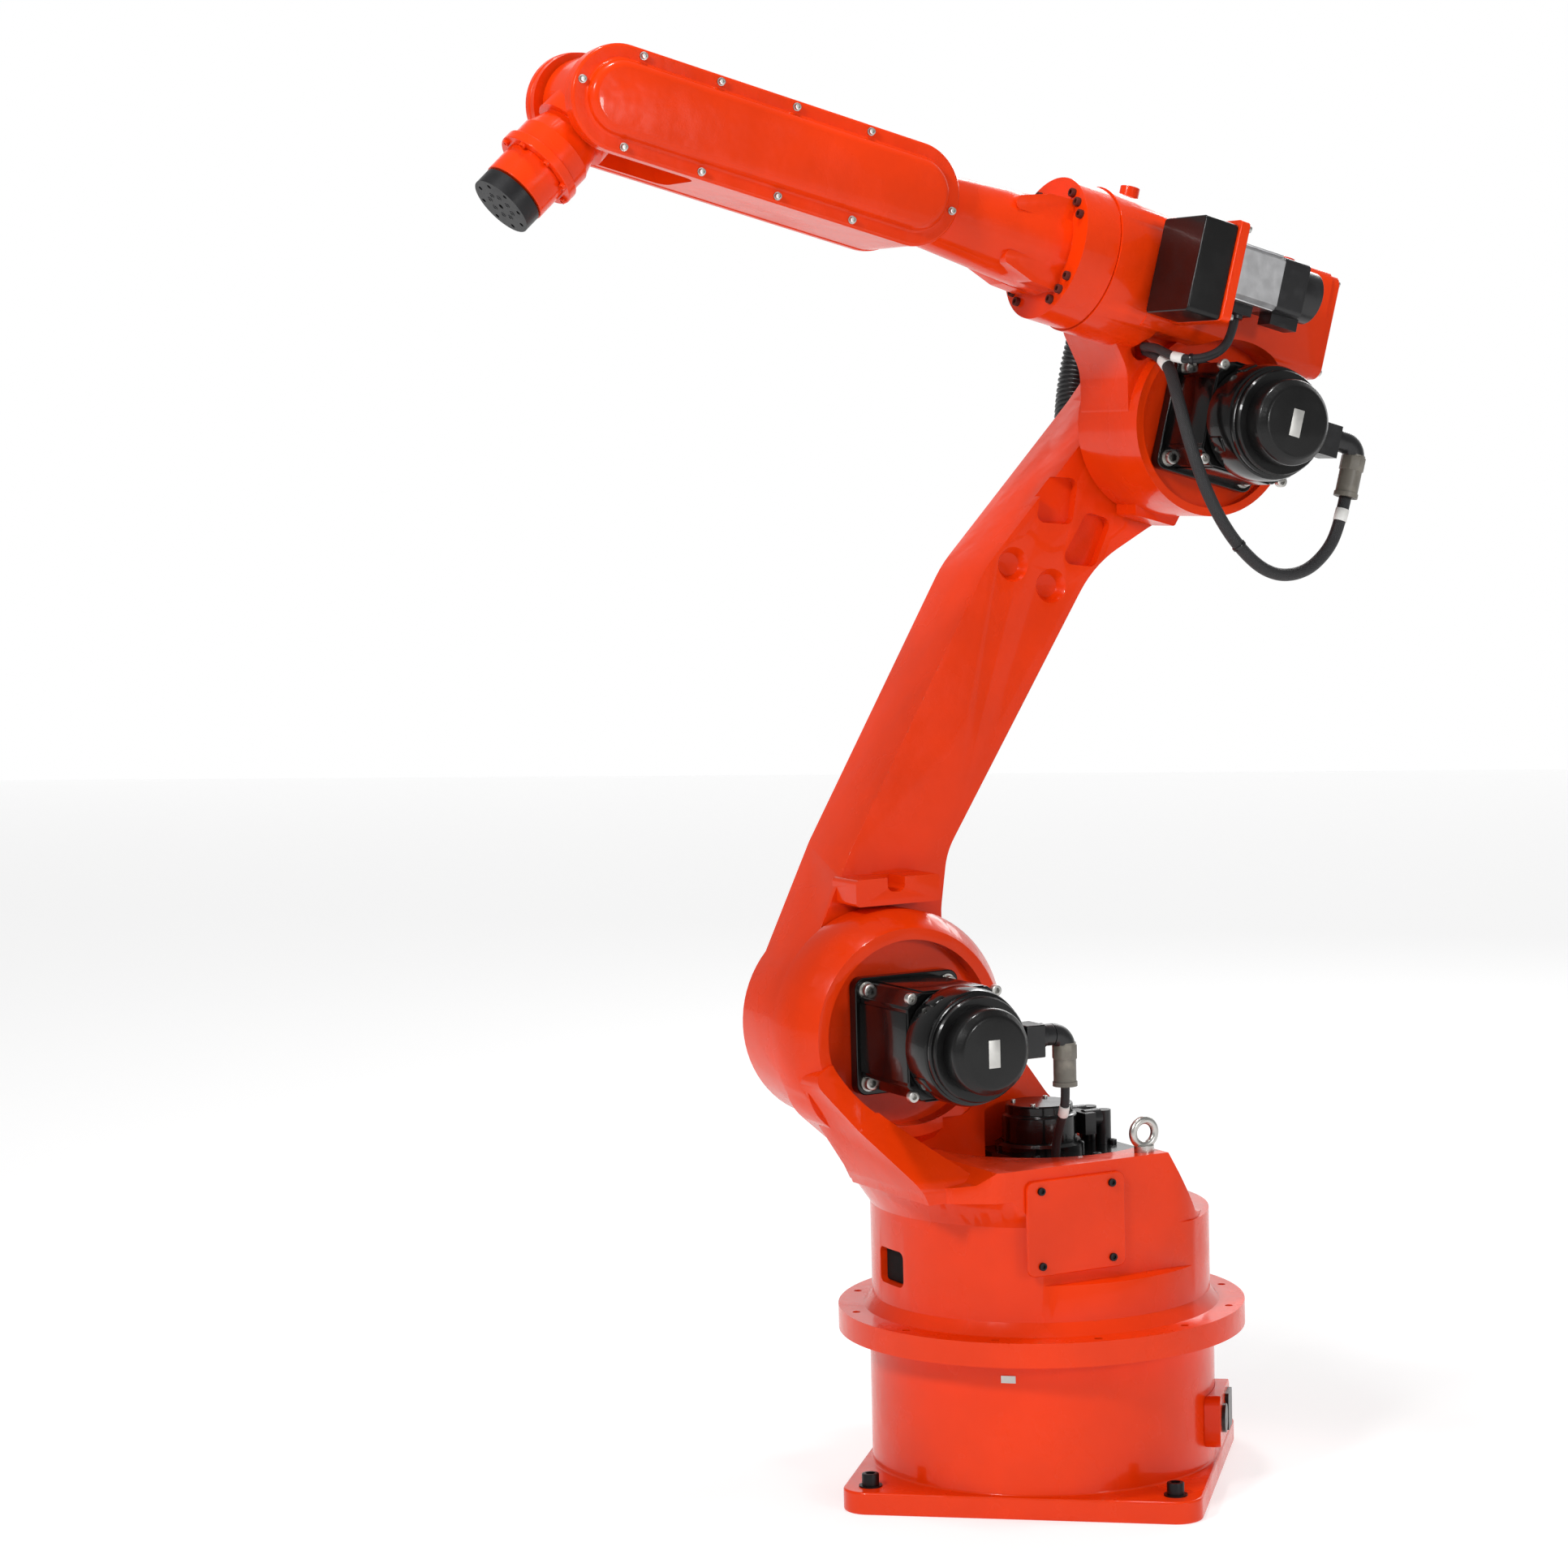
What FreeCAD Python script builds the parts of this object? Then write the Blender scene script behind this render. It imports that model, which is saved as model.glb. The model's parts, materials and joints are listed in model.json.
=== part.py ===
import FreeCAD, Part
import math
import os
from FreeCAD import Placement, Rotation, Vector

# Six-axis industrial robot arm, in millimetres.
# Origin: axis of the turning joint at floor level. +Z up, +X the front of the base plate.
# Each moving link is modelled straight in its own frame and set by a placement chain:
#   turret frame   X forward, Y to the motor side, Z up, origin on the turning axis at the floor
#   lower arm      origin on the shoulder axis, Z along the arm
#   elbow, forearm origin on the elbow axis, X along the forearm
#   wrist, tool    origin on the wrist pivot, X along the tool axis

# ---- pose of the links at rest (degrees) ----
YAW_REST = 40.0
LEAN_BACK = 30.0
FOREARM_RISE = 15.5
WRIST_DROP = 58.0

# ---- axes ----
SHOULDER_X = 166.0
SHOULDER_Z = 520.0
LOWER_ARM_LEN = 760.0
ROLL_AXIS_Z = 138.0
ROLL_AXIS_Y = 25.0
FOREARM_LEN = 800.0
TOOL_REACH = 157.0

# ---- clearances ----
RUN_GAP = 0.3
SWING_GAP = 5.0
SEAM_GAP = 1.0

# ---- base ----
BOLT_SQUARE = 336.0
BOLT_HOLE_R = 7.0
EAR_R = 30.0
PLATE_T = 25.0
BASE_R = 193.5
BASE_TOP = 171.0
YAW_GEAR_R = 150.0
YAW_GEAR_SUNK = 12.0
CONNECTOR_BOX_REAR = -(BASE_R + 12.0)
CONNECTOR_BOX_HALF_W = 50.0
CONNECTOR_BOX_Z = (46.0, 104.0)
SOCKET_OUT = 4.0

# ---- turret ----
DISC_R = 228.5
DISC_T = 27.0
DISC_Z = 174.7
DISC_HOLE_R = 4.5
DISC_HOLES = 12
COLUMN_R = 190.0
SHOULDER_DECK_Z = 385.0
REAR_DECK_Z = 313.0
SIDE_WALL_Y = 164.0
SIDE_FLAT_Z = 256.0
LEDGE_Z = 352.0
YAW_WELL_R = 128.0
YAW_WELL_Z = 362.0
YAW_PLATE_T = 12.0
YAW_MOTOR_R = 42.0
YAW_MOTOR_Y = 4.0
YAW_MOTOR_H = 40.0
SHOULDER_RING_R = 134.0
SHOULDER_RIM_R = 116.0
SHOULDER_SEAT_R = 103.0
UPRIGHT_FAR_Y = -64.0
SHOULDER_SEAT_Y = -12.0
SHOULDER_RIM_Y = 8.0
REAR_WEB_T = 20.0
SIDE_COVER_W = 124.0
SIDE_COVER_H = 104.0
SIDE_COVER_T = 5.0
SIDE_COVER_X = 56.0
SIDE_COVER_Z = 320.0
GEAR_DISC_R = 104.0
GEAR_DISC_SUNK = 14.0
EYE_SPOTS = ((-48, 144), (-56, -144))
EYE_RING_R = 14.0
EYE_WIRE_R = 4.5

# ---- motors with a square flange ----
FLANGE_SIDE = 130.0
FLANGE_T = 14.0
BODY_SIDE = 118.0
SHOULDER_BODY_LEN = 106.0
ELBOW_BODY_LEN = 78.0
REAR_SIDE = 128.0
REAR_LEN = 44.0
ENCODER_R = 47.0
ENCODER_LEN = 36.0
PLUG_X = -120.0
PLUG_TOP = -6.0
PLUG_LEN = 48.0

# ---- lower arm ----
ARM_FAR_Y = -169.0
ARM_T = 100.0
ARM_ROOT_R = 116.0
ARM_FRONT_X = 118.0
ARM_POCKET_DEPTH = 62.0
ARM_RIM = 20.0

# ---- elbow ----
HUB_R = 103.0
HUB_FAR_Y = -64.0
HUB_SEAT_Y = 46.0
HUB_RIM_Y = 57.0
HUB_SEAT_R = 93.5
ROLL_HOUSING_R = 82.0
ROLL_SEAM_X = 197.0
ELBOW_BOX_REAR = -94.0
REAR_COVER_T = 12.0
ELBOW_GEAR_R = 82.0
ROLL_RING_R = 66.0
CABLE_HOLE = (104.0, 60.0)
CABLE_HOLE_R = 13.0
ROLL_PLATE_X = (96.0, 108.0)
ROLL_MOTOR_Y = 152.0
ROLL_MOTOR_Z = 147.0
ROLL_MOTOR_HALF = 30.0
ROLL_PLUG = (ROLL_PLATE_X[0] - 32, ROLL_MOTOR_Y, ROLL_MOTOR_Z - ROLL_MOTOR_HALF - 16)
HOSE_BRACKET_X = 14.0
HOSE_BRACKET_Y = -112.0
HOSE_BRACKET_Z = 158.0
HOSE_PAD_T = 10.0

# ---- forearm ----
ROLL_FLANGE_R = 80.0
ROLL_FLANGE_T = 44.0
TUBE_R_REAR = 53.0
TUBE_R_FRONT = 40.0
COVER_R = 55.5
COVER_REAR_X = 447.0
COVER_NOSE_X = FOREARM_LEN + 4.0
FOREARM_HALF_W = 46.0
COVER_T = 12.0
COVER_RAISE = 12.0
FORK_HALF_W = 38.0
FORK_BOTTOM = 108.0

# ---- wrist ----
BARREL_R = 50.0
BARREL_HALF_W = FORK_HALF_W - SWING_GAP
PIVOT_R = 30.0
WRIST_TUBE_R = 42.0
BOLT_RING_R = 46.0
BOLT_RING_T = 11.0
BOLT_RING_AT = 92.0
NECK_R = 36.0
TOOL_R = 35.0
TOOL_T = 18.0
TOOL_SPIGOT_R = 20.0
TOOL_BOLT_R = 28.0
TOOL_HOLE_R = 2.5
TOOL_HOLES = 8
TOOL_FACE = TOOL_REACH
NECK_END = TOOL_REACH - TOOL_T - 2.5

# ---- hose and cables ----
HOSE_R = 22.0
CABLE_R = 7.0
THIN_CABLE_R = 5.0

X_AXIS = Vector(1, 0, 0)
Y_AXIS = Vector(0, 1, 0)
Z_AXIS = Vector(0, 0, 1)

# Each clamp: its middle on the hose, in the lower arm frame, then the hose direction there.
HOSE_GLAND = (28.0, -194.0, 62.0, 130.0)
UPPER_CLAMP = (-1.2, -194.0, 602.0)
UPPER_CLAMP_AXIS = Vector(4.5, 0, -59)
LOWER_CLAMP = (21.0, -194.0, 350.0)
LOWER_CLAMP_AXIS = Vector(6, 0, -80)
CLAMP_W = 16.0
CLAMP_T = 3.0


# ---------------------------------------------------------------- placements
def turn(axis, degrees):
    return Placement(Vector(0, 0, 0), Rotation(axis, degrees))


def shift(x, y, z):
    return Placement(Vector(x, y, z), Rotation())


TURRET = turn(Z_AXIS, YAW_REST)
LOWER_ARM = TURRET * shift(SHOULDER_X, 0, SHOULDER_Z) * turn(Y_AXIS, -LEAN_BACK)
ELBOW = LOWER_ARM * shift(0, 0, LOWER_ARM_LEN) * turn(Y_AXIS, LEAN_BACK - FOREARM_RISE)
WRIST = ELBOW * shift(FOREARM_LEN, ROLL_AXIS_Y, ROLL_AXIS_Z) * turn(Y_AXIS, WRIST_DROP)


# ---------------------------------------------------------------- shape helpers
def box(x0, x1, y0, y1, z0, z1):
    return Part.makeBox(x1 - x0, y1 - y0, z1 - z0, Vector(x0, y0, z0))


def rod(radius, start, axis, length):
    return Part.makeCylinder(radius, length, Vector(*start), axis)


def cone(r0, r1, start, axis, length):
    return Part.makeCone(r0, r1, length, Vector(*start), axis)


def rounded_wire(points, radii, put):
    """Closed outline with each corner rounded; put(u, v) gives the 3-D point."""
    count = len(points)
    edges, ends = [], []
    for i, (u, v) in enumerate(points):
        corner = put(u, v)
        before = (put(*points[i - 1]) - corner).normalize()
        after = (put(*points[(i + 1) % count]) - corner).normalize()
        radius = radii[i]
        if radius <= 0:
            ends.append((corner, None, corner))
            continue
        half = before.getAngle(after) / 2
        leg = radius / math.tan(half)
        bisector = (before + after).normalize()
        centre = corner + bisector * (radius / math.sin(half))
        mid = centre - bisector * radius
        ends.append((corner + before * leg, mid, corner + after * leg))
    for i, (start, mid, stop) in enumerate(ends):
        if mid is not None:
            edges.append(Part.Arc(start, mid, stop).toShape())
        following = ends[(i + 1) % count][0]
        if (following - stop).Length > 0.01:
            edges.append(Part.LineSegment(stop, following).toShape())
    return Part.Wire(edges)


def side_plate(points, radii, y0, y1):
    """Rounded outline in the XZ plane, from y0 to y1."""
    wire = rounded_wire(points, radii, lambda u, v: Vector(u, y0, v))
    return Part.Face(wire).extrude(Vector(0, y1 - y0, 0))


def floor_plate(points, radii, z0, z1):
    """Rounded outline in the XY plane, from z0 to z1."""
    wire = rounded_wire(points, radii, lambda u, v: Vector(u, v, z0))
    return Part.Face(wire).extrude(Vector(0, 0, z1 - z0))


def cross_plate(points, radii, x0, x1):
    """Rounded outline in the YZ plane, from x0 to x1."""
    wire = rounded_wire(points, radii, lambda u, v: Vector(x0, u, v))
    return Part.Face(wire).extrude(Vector(x1 - x0, 0, 0))


def rectangle(u0, u1, v0, v1):
    return [(u0, v0), (u1, v0), (u1, v1), (u0, v1)]


def stadium(x0, x1, z, radius, y0, y1):
    body = box(x0, x1, min(y0, y1), max(y0, y1), z - radius, z + radius)
    for x in (x0, x1):
        body = body.fuse(rod(radius, (x, min(y0, y1), z), Y_AXIS, abs(y1 - y0)))
    return body.removeSplitter()


def ring_points(count, radius, offset=0.0):
    for i in range(count):
        angle = math.radians(offset + 360.0 * i / count)
        yield radius * math.cos(angle), radius * math.sin(angle)


def tube(name, points, radius):
    """Round tube along straight runs joined by tangent arcs; prints each arc's radius."""
    corners = [Vector(*p) for p in points]
    edges, bends = [], []
    at = corners[0]
    for before, corner, after in zip(corners, corners[1:], corners[2:]):
        back = before - corner
        ahead = after - corner
        run = min(back.Length, ahead.Length)
        back.normalize()
        ahead.normalize()
        half_turn = (math.pi - back.getAngle(ahead)) / 2
        leg = 0.45 * run
        bend = leg / math.tan(half_turn)
        bends.append(round(bend))
        bisector = (back + ahead).normalize()
        centre = corner + bisector * (bend / math.cos(half_turn))
        start, stop = corner + back * leg, corner + ahead * leg
        edges.append(Part.LineSegment(at, start).toShape())
        edges.append(Part.Arc(start, centre - bisector * bend, stop).toShape())
        at = stop
    edges.append(Part.LineSegment(at, corners[-1]).toShape())
    path = Part.Wire(edges)
    circle = Part.Circle(corners[0], corners[1] - corners[0], radius)
    solid = path.makePipeShell([Part.Wire([circle.toShape()])], True, False)
    length = path.Length
    print(name, "length", round(length), "volume ratio",
          round(solid.Volume / (math.pi * radius ** 2 * length), 3), "bend radii", bends)
    return solid


def save(name, shape, placement):
    placed = shape.copy()
    placed.Placement = placement * placed.Placement
    placed.exportStep("parts/" + name + ".step")


# ---------------------------------------------------------------- base
def base_casting():
    half = BOLT_SQUARE / 2 + EAR_R
    plate = floor_plate(rectangle(-half, half, -half, half), [EAR_R] * 4, 0, PLATE_T)
    body = plate.fuse(rod(BASE_R, (0, 0, PLATE_T / 2), Z_AXIS, BASE_TOP - PLATE_T / 2))
    body = body.cut(rod(YAW_GEAR_R, (0, 0, BASE_TOP - YAW_GEAR_SUNK), Z_AXIS, YAW_GEAR_SUNK + 1))
    for sx in (-1, 1):
        for sy in (-1, 1):
            spot = (sx * BOLT_SQUARE / 2, sy * BOLT_SQUARE / 2, -1)
            body = body.cut(rod(BOLT_HOLE_R, spot, Z_AXIS, PLATE_T + 40))
    return body.removeSplitter()


def yaw_gearbox():
    start = BASE_TOP - YAW_GEAR_SUNK
    return rod(YAW_GEAR_R, (0, 0, start), Z_AXIS, DISC_Z - RUN_GAP - start)


def base_connector_box():
    outline = rectangle(-CONNECTOR_BOX_HALF_W, CONNECTOR_BOX_HALF_W, *CONNECTOR_BOX_Z)
    block = cross_plate(outline, [10] * 4, CONNECTOR_BOX_REAR, -BASE_R * 0.8)
    return block.cut(rod(BASE_R, (0, 0, 0), Z_AXIS, BASE_TOP))


def base_sockets():
    mid = sum(CONNECTOR_BOX_Z) / 2
    front = CONNECTOR_BOX_REAR - SOCKET_OUT
    power = cross_plate(rectangle(-40, -2, mid - 21, mid + 21), [4] * 4, front, CONNECTOR_BOX_REAR)
    signal = rod(16, (front, 22, mid), X_AXIS, SOCKET_OUT)
    return Part.makeCompound([power, signal])


# ---------------------------------------------------------------- turret
def deck_outline():
    """Plan of the upper turret: flat side walls, round rear, blunt nose."""
    return [(-104, SIDE_WALL_Y), (150, SIDE_WALL_Y), (206, 124), (200, 30), (182, -70),
            (96, -SIDE_WALL_Y), (-104, -SIDE_WALL_Y), (-176, -70), (-176, 70)]


def upright():
    """Wall that carries the shoulder gearbox, with its round boss."""
    sx, sz = SHOULDER_X, SHOULDER_Z
    r = SHOULDER_RING_R
    thick = [(62, 260), (62, 400), (sx - r + 22, sz), (sx + r - 30, sz + 30), (sx + r - 8, sz - 70),
             (226, 392), (196, 330), (180, 260)]
    wall = side_plate(thick, [0, 30, 20, 20, 60, 40, 40, 0], UPRIGHT_FAR_Y, SHOULDER_SEAT_Y)
    thin = [(-118, 260), (-104, 360), (-40, 426), (sx - r + 26, sz + 40), (140, sz), (140, 260)]
    web = side_plate(thin, [0, 12, 60, 10, 0, 0], UPRIGHT_FAR_Y, UPRIGHT_FAR_Y + REAR_WEB_T)
    crown_y = SHOULDER_RIM_Y - 28
    boss = rod(r, (sx, UPRIGHT_FAR_Y, sz), Y_AXIS, crown_y - UPRIGHT_FAR_Y)
    crown = cone(r, SHOULDER_RIM_R, (sx, crown_y, sz), Y_AXIS, SHOULDER_RIM_Y - crown_y)
    return wall.fuse([web, boss, crown])


def bowl():
    """Curved front wall that falls from the boss to the nose, round the motor."""
    sx, sz = SHOULDER_X, SHOULDER_Z
    side = [(150, 250), (214, 250), (214, 352), (258, 420), (sx + SHOULDER_RING_R - 4, sz - 40),
            (sx + 98, sz - 24), (sx + 66, sz - 76), (186, 402), (150, SHOULDER_DECK_Z - 14)]
    wall = side_plate(side, [0, 0, 60, 60, 12, 8, 40, 30, 0], -40, 128)
    slope = [(-40, 700), (4, 700), (4, 500), (60, 428), (128, 372), (128, 200), (-40, 200)]
    return wall.common(cross_plate(slope, [0, 0, 60, 40, 20, 0, 0], 0, 400))


def turret_casting():
    disc = rod(DISC_R, (0, 0, DISC_Z), Z_AXIS, DISC_T)
    top = DISC_Z + DISC_T
    flare = cone(COLUMN_R + 10, COLUMN_R, (0, 0, top), Z_AXIS, 14)
    column = rod(COLUMN_R, (0, 0, top), Z_AXIS, 104)
    deck = floor_plate(deck_outline(), [60, 30, 50, 100, 50, 60, 60, 60, 60], 285, SHOULDER_DECK_Z)
    rear_cut = side_plate([(-66, SHOULDER_DECK_Z + 1), (-108, REAR_DECK_Z), (-240, REAR_DECK_Z - 30),
                           (-240, SHOULDER_DECK_Z + 1)], [0, 8, 0, 0], -250, 250)
    nose_cut = side_plate([(150, SHOULDER_DECK_Z + 1), (170, 372), (260, 360), (260, 420)],
                          [0, 6, 0, 0], UPRIGHT_FAR_Y, 250)
    far_cut = box(120, 300, -250, UPRIGHT_FAR_Y - 1, 372, 400)
    deck = deck.cut([rear_cut, nose_cut, far_cut])
    drum_top = rod(COLUMN_R, (0, 0, top), Z_AXIS, LEDGE_Z - top)
    ledge_flare = cone(COLUMN_R, COLUMN_R + 22, (0, 0, LEDGE_Z - 32), Z_AXIS, 32)
    in_front = box(70, 300, -250, 250, top + 14, LEDGE_Z)
    body = disc.fuse([flare, column, deck, upright(), bowl()])
    body = body.cut(in_front.cut([drum_top, ledge_flare])).fuse(drum_top.common(in_front))
    body = body.cut(rod(SHOULDER_SEAT_R, (SHOULDER_X, SHOULDER_SEAT_Y, SHOULDER_Z), Y_AXIS, 60))
    body = body.cut(shoulder_gear_space())
    well_y = UPRIGHT_FAR_Y + REAR_WEB_T
    well = rod(YAW_WELL_R, (0, 0, YAW_WELL_Z), Z_AXIS, 60)
    well = well.cut([box(-250, 250, -250, well_y, YAW_WELL_Z, 600),
                     box(62, 250, -250, SHOULDER_SEAT_Y, YAW_WELL_Z, 600)])
    body = body.cut(well)
    for x, y in ring_points(DISC_HOLES, DISC_R - 14, 15):
        body = body.cut(rod(DISC_HOLE_R, (x, y, DISC_Z - 1), Z_AXIS, DISC_T + 2))
    body = body.cut(cross_plate(rectangle(-34, 20, 239, 279), [8] * 4, 130, 300))
    for side in (SIDE_WALL_Y, -SIDE_WALL_Y - 60):
        body = body.cut(box(-250, 250, side, side + 60, SIDE_FLAT_Z, 400))
    return body.removeSplitter()


def shoulder_gear_space():
    return rod(GEAR_DISC_R, (SHOULDER_X, UPRIGHT_FAR_Y - 1, SHOULDER_Z), Y_AXIS, GEAR_DISC_SUNK + 1)


def arm_near_y():
    return ARM_FAR_Y + ARM_T


def shoulder_gearbox():
    start = arm_near_y() + RUN_GAP
    return rod(GEAR_DISC_R, (SHOULDER_X, start, SHOULDER_Z), Y_AXIS,
               UPRIGHT_FAR_Y + GEAR_DISC_SUNK - start)


def turret_cover(side):
    outline = rectangle(SIDE_COVER_X - SIDE_COVER_W / 2, SIDE_COVER_X + SIDE_COVER_W / 2,
                        SIDE_COVER_Z - SIDE_COVER_H / 2, SIDE_COVER_Z + SIDE_COVER_H / 2)
    near = SIDE_WALL_Y if side > 0 else -SIDE_WALL_Y - SIDE_COVER_T
    return side_plate(outline, [9] * 4, near, near + SIDE_COVER_T)


def yaw_motor_plate():
    near_wall = UPRIGHT_FAR_Y + REAR_WEB_T + 4
    return floor_plate(rectangle(-92, 58, near_wall, 104), [16, 16, 30, 40],
                       YAW_WELL_Z, YAW_WELL_Z + YAW_PLATE_T)


def yaw_motor():
    z = YAW_WELL_Z + YAW_PLATE_T
    body = rod(YAW_MOTOR_R, (0, YAW_MOTOR_Y, z), Z_AXIS, YAW_MOTOR_H)
    cap = rod(YAW_MOTOR_R - 4, (0, YAW_MOTOR_Y, z + YAW_MOTOR_H), Z_AXIS, 12)
    return body.fuse(cap).removeSplitter()


def yaw_motor_connector():
    z = YAW_WELL_Z + YAW_PLATE_T
    edge = -YAW_MOTOR_R - RUN_GAP
    plugs = []
    for y in (YAW_MOTOR_Y - 14, YAW_MOTOR_Y + 16):
        root = rod(10, (edge - 26, y, z + 30), X_AXIS, 20)
        bend = rod(9, (edge - 32, y, z), Z_AXIS, 38)
        plugs.append(root.fuse(bend))
    block = box(edge - 14, edge, YAW_MOTOR_Y - 28, YAW_MOTOR_Y + 30, z + 14, z + 38)
    return block.fuse(plugs).removeSplitter()


def lifting_eyes():
    eyes = []
    for x, y in EYE_SPOTS:
        foot = rod(11, (x, y, SHOULDER_DECK_Z), Z_AXIS, 7)
        ring = Part.makeTorus(EYE_RING_R, EYE_WIRE_R,
                              Vector(x, y, SHOULDER_DECK_Z + 7 + EYE_RING_R), Y_AXIS)
        eyes.append(foot.fuse(ring).removeSplitter())
    return Part.makeCompound(eyes)


# ---------------------------------------------------------------- square-flange motors
def motor_outline(side, corner):
    half = side / 2
    c = half - corner
    return [(-half, -c), (-c, -half), (c, -half), (half, -c), (half, c), (c, half), (-c, half), (-half, c)]


def motor_flange(y):
    half = FLANGE_SIDE / 2
    return side_plate(rectangle(-half, half, -half, half), [12] * 4, y, y + FLANGE_T)


def motor_body(y, body_len):
    start = y + FLANGE_T
    body = side_plate(motor_outline(BODY_SIDE, 16), [0] * 8, start, start + body_len)
    rear = side_plate(motor_outline(REAR_SIDE, 34), [0] * 8, start + body_len,
                      start + body_len + REAR_LEN)
    return body.fuse(rear).removeSplitter()


def motor_encoder(y, body_len):
    start = y + FLANGE_T + body_len + REAR_LEN
    cap = rod(ENCODER_R, (0, start, 0), Y_AXIS, ENCODER_LEN - 8)
    dome = cone(ENCODER_R, ENCODER_R - 8, (0, start + ENCODER_LEN - 8, 0), Y_AXIS, 8)
    return cap.fuse(dome).removeSplitter()


def plug_y(y, body_len):
    return y + FLANGE_T + body_len + REAR_LEN / 2 + 4


def motor_socket(y, body_len):
    """Socket block on the rear side of the motor, with the elbow of its plug."""
    edge = -REAR_SIDE / 2
    mid = plug_y(y, body_len)
    block = box(edge - 24, edge, mid - 20, mid + 14, -18, 18)
    elbow = rod(12, (PLUG_X, mid, 4), X_AXIS, edge - 24 - PLUG_X)
    return block.fuse(elbow).removeSplitter()


def motor_plug(y, body_len):
    """Straight plug that hangs from the elbow and holds the cable."""
    start = PLUG_TOP
    shell = rod(12.5, (PLUG_X, plug_y(y, body_len), start - PLUG_LEN), Z_AXIS, PLUG_LEN)
    return shell.cut(rod(12, (PLUG_X, plug_y(y, body_len), 4), X_AXIS, 60)).removeSplitter()


# ---------------------------------------------------------------- lower arm
def arm_outline():
    """Side outline of the arm, from the shoulder end up the front and down the rear."""
    top = LOWER_ARM_LEN
    points = [(ARM_ROOT_R * 0.97, 20), (122, 160), (ARM_FRONT_X, top - 245), (58, top + 2),
              (46, top + 70), (-10, top + 100), (-76, top + 82), (-104, top + 10), (-92, top - 50),
              (-52, top - 105), (-8, top - 176), (0, top - 330), (10, 210), (-18, 140),
              (-ARM_ROOT_R * 0.9, 60), (-ARM_ROOT_R * 0.9, 20)]
    radii = [0, 60, 140, 40, 36, 60, 50, 50, 40, 60, 140, 300, 80, 80, 0, 0]
    return points, radii


def lower_arm_casting():
    near, far = arm_near_y(), ARM_FAR_Y
    points, radii = arm_outline()
    beam = side_plate(points, radii, far, near)
    root = rod(ARM_ROOT_R, (0, far, 0), Y_AXIS, ARM_T)
    body = beam.fuse(root)
    top = LOWER_ARM_LEN
    pocket = side_plate([(52 - ARM_RIM, top + 66), (84 - ARM_RIM, top - 20),
                         (80 - ARM_RIM, top - 84), (10, top - 108), (-60, top - 96),
                         (-130, top - 60), (-130, top + 60), (-64, top + 72)],
                        [20, 60, 40, 50, 20, 0, 0, 30], far - 1, far + ARM_POCKET_DEPTH)
    body = body.cut(pocket)
    body = body.cut(arm_front_pockets(near))
    return body.fuse(stop_block(near)).removeSplitter()


def arm_front_pockets(near):
    """Shallow cast pockets on the motor side below the elbow."""
    top = LOWER_ARM_LEN
    cuts = []
    for x, z in ((88, top - 226), (32, top - 224)):
        cuts.append(cone(20, 13, (x, near + 0.5, z), Vector(0, -1, 0), 11))
    cuts.append(side_plate([(84, top - 170), (100, top - 120), (58, top - 100), (40, top - 150)],
                           [10] * 4, near - 12, near + 1))
    cuts.append(side_plate([(34, top - 196), (30, top - 128), (-4, top - 120), (-10, top - 178)],
                           [10] * 4, near - 12, near + 1))
    return cuts


def stop_block(near):
    """Hard stop above the shoulder, level with the floor at rest."""
    foot = SHOULDER_RING_R + SWING_GAP
    block = side_plate(rectangle(-62, 46, foot, foot + 30), [5] * 4, near - 10, near + 44)
    notch = side_plate(rectangle(-16, 6, foot + 14, foot + 60), [8, 8, 0, 0], near + 8, near + 60)
    return block.cut(notch).rotated(Vector(0, 0, 0), Y_AXIS, LEAN_BACK)


# ---------------------------------------------------------------- elbow
def elbow_casting():
    hub = rod(HUB_R, (0, HUB_FAR_Y, 0), Y_AXIS, HUB_RIM_Y - HUB_FAR_Y)
    neck = side_plate([(HUB_R - 4, -24), (116, 34), (152, 74), (160, 130), (-70, 130), (-76, 84),
                       (-HUB_R + 14, 40), (-HUB_R + 6, -10)],
                      [20, 50, 40, 0, 0, 10, 30, 0], HUB_FAR_Y + 6, HUB_SEAT_Y - 6)
    y0, z0 = ROLL_AXIS_Y, ROLL_AXIS_Z
    housing = rod(ROLL_HOUSING_R, (ROLL_SEAM_X - 84, y0, z0), X_AXIS, 84)
    rear = cross_plate(rectangle(y0 - 70, y0 + 66, z0 - 62, z0 + 62), [16] * 4,
                       ELBOW_BOX_REAR, ROLL_SEAM_X - 60)
    shoulder = side_plate(rectangle(-34, 116, 84, z0 + 64), [14] * 4, HUB_FAR_Y, y0)
    lugs = []
    for x, z in ((146, z0 + 80), (-76, z0 + 60)):
        lugs.append(rod(11, (x, y0 - 10, z), Z_AXIS, 16))
    ear = side_plate([(-30, -HUB_R - 8), (24, -HUB_R - 8), (30, -HUB_R + 12), (-36, -HUB_R + 12)],
                     [4, 4, 0, 0], HUB_FAR_Y, HUB_FAR_Y + 40)
    body = hub.fuse([neck, housing, rear, shoulder, ear] + lugs)
    body = body.cut(rod(HUB_SEAT_R, (0, HUB_SEAT_Y, 0), Y_AXIS, 60))
    body = body.cut(rod(ELBOW_GEAR_R, (0, HUB_FAR_Y - 1, 0), Y_AXIS, GEAR_DISC_SUNK + 1))
    body = body.cut(rod(CABLE_HOLE_R, (CABLE_HOLE[0], 10, CABLE_HOLE[1]), Y_AXIS, 60))
    body = body.cut(rod(ROLL_RING_R, (ROLL_SEAM_X - 12, y0, z0), X_AXIS, 20))
    return body.removeSplitter()


def elbow_gearbox():
    start = arm_near_y() + RUN_GAP
    return rod(ELBOW_GEAR_R, (0, start, 0), Y_AXIS, HUB_FAR_Y + GEAR_DISC_SUNK - start)


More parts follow.
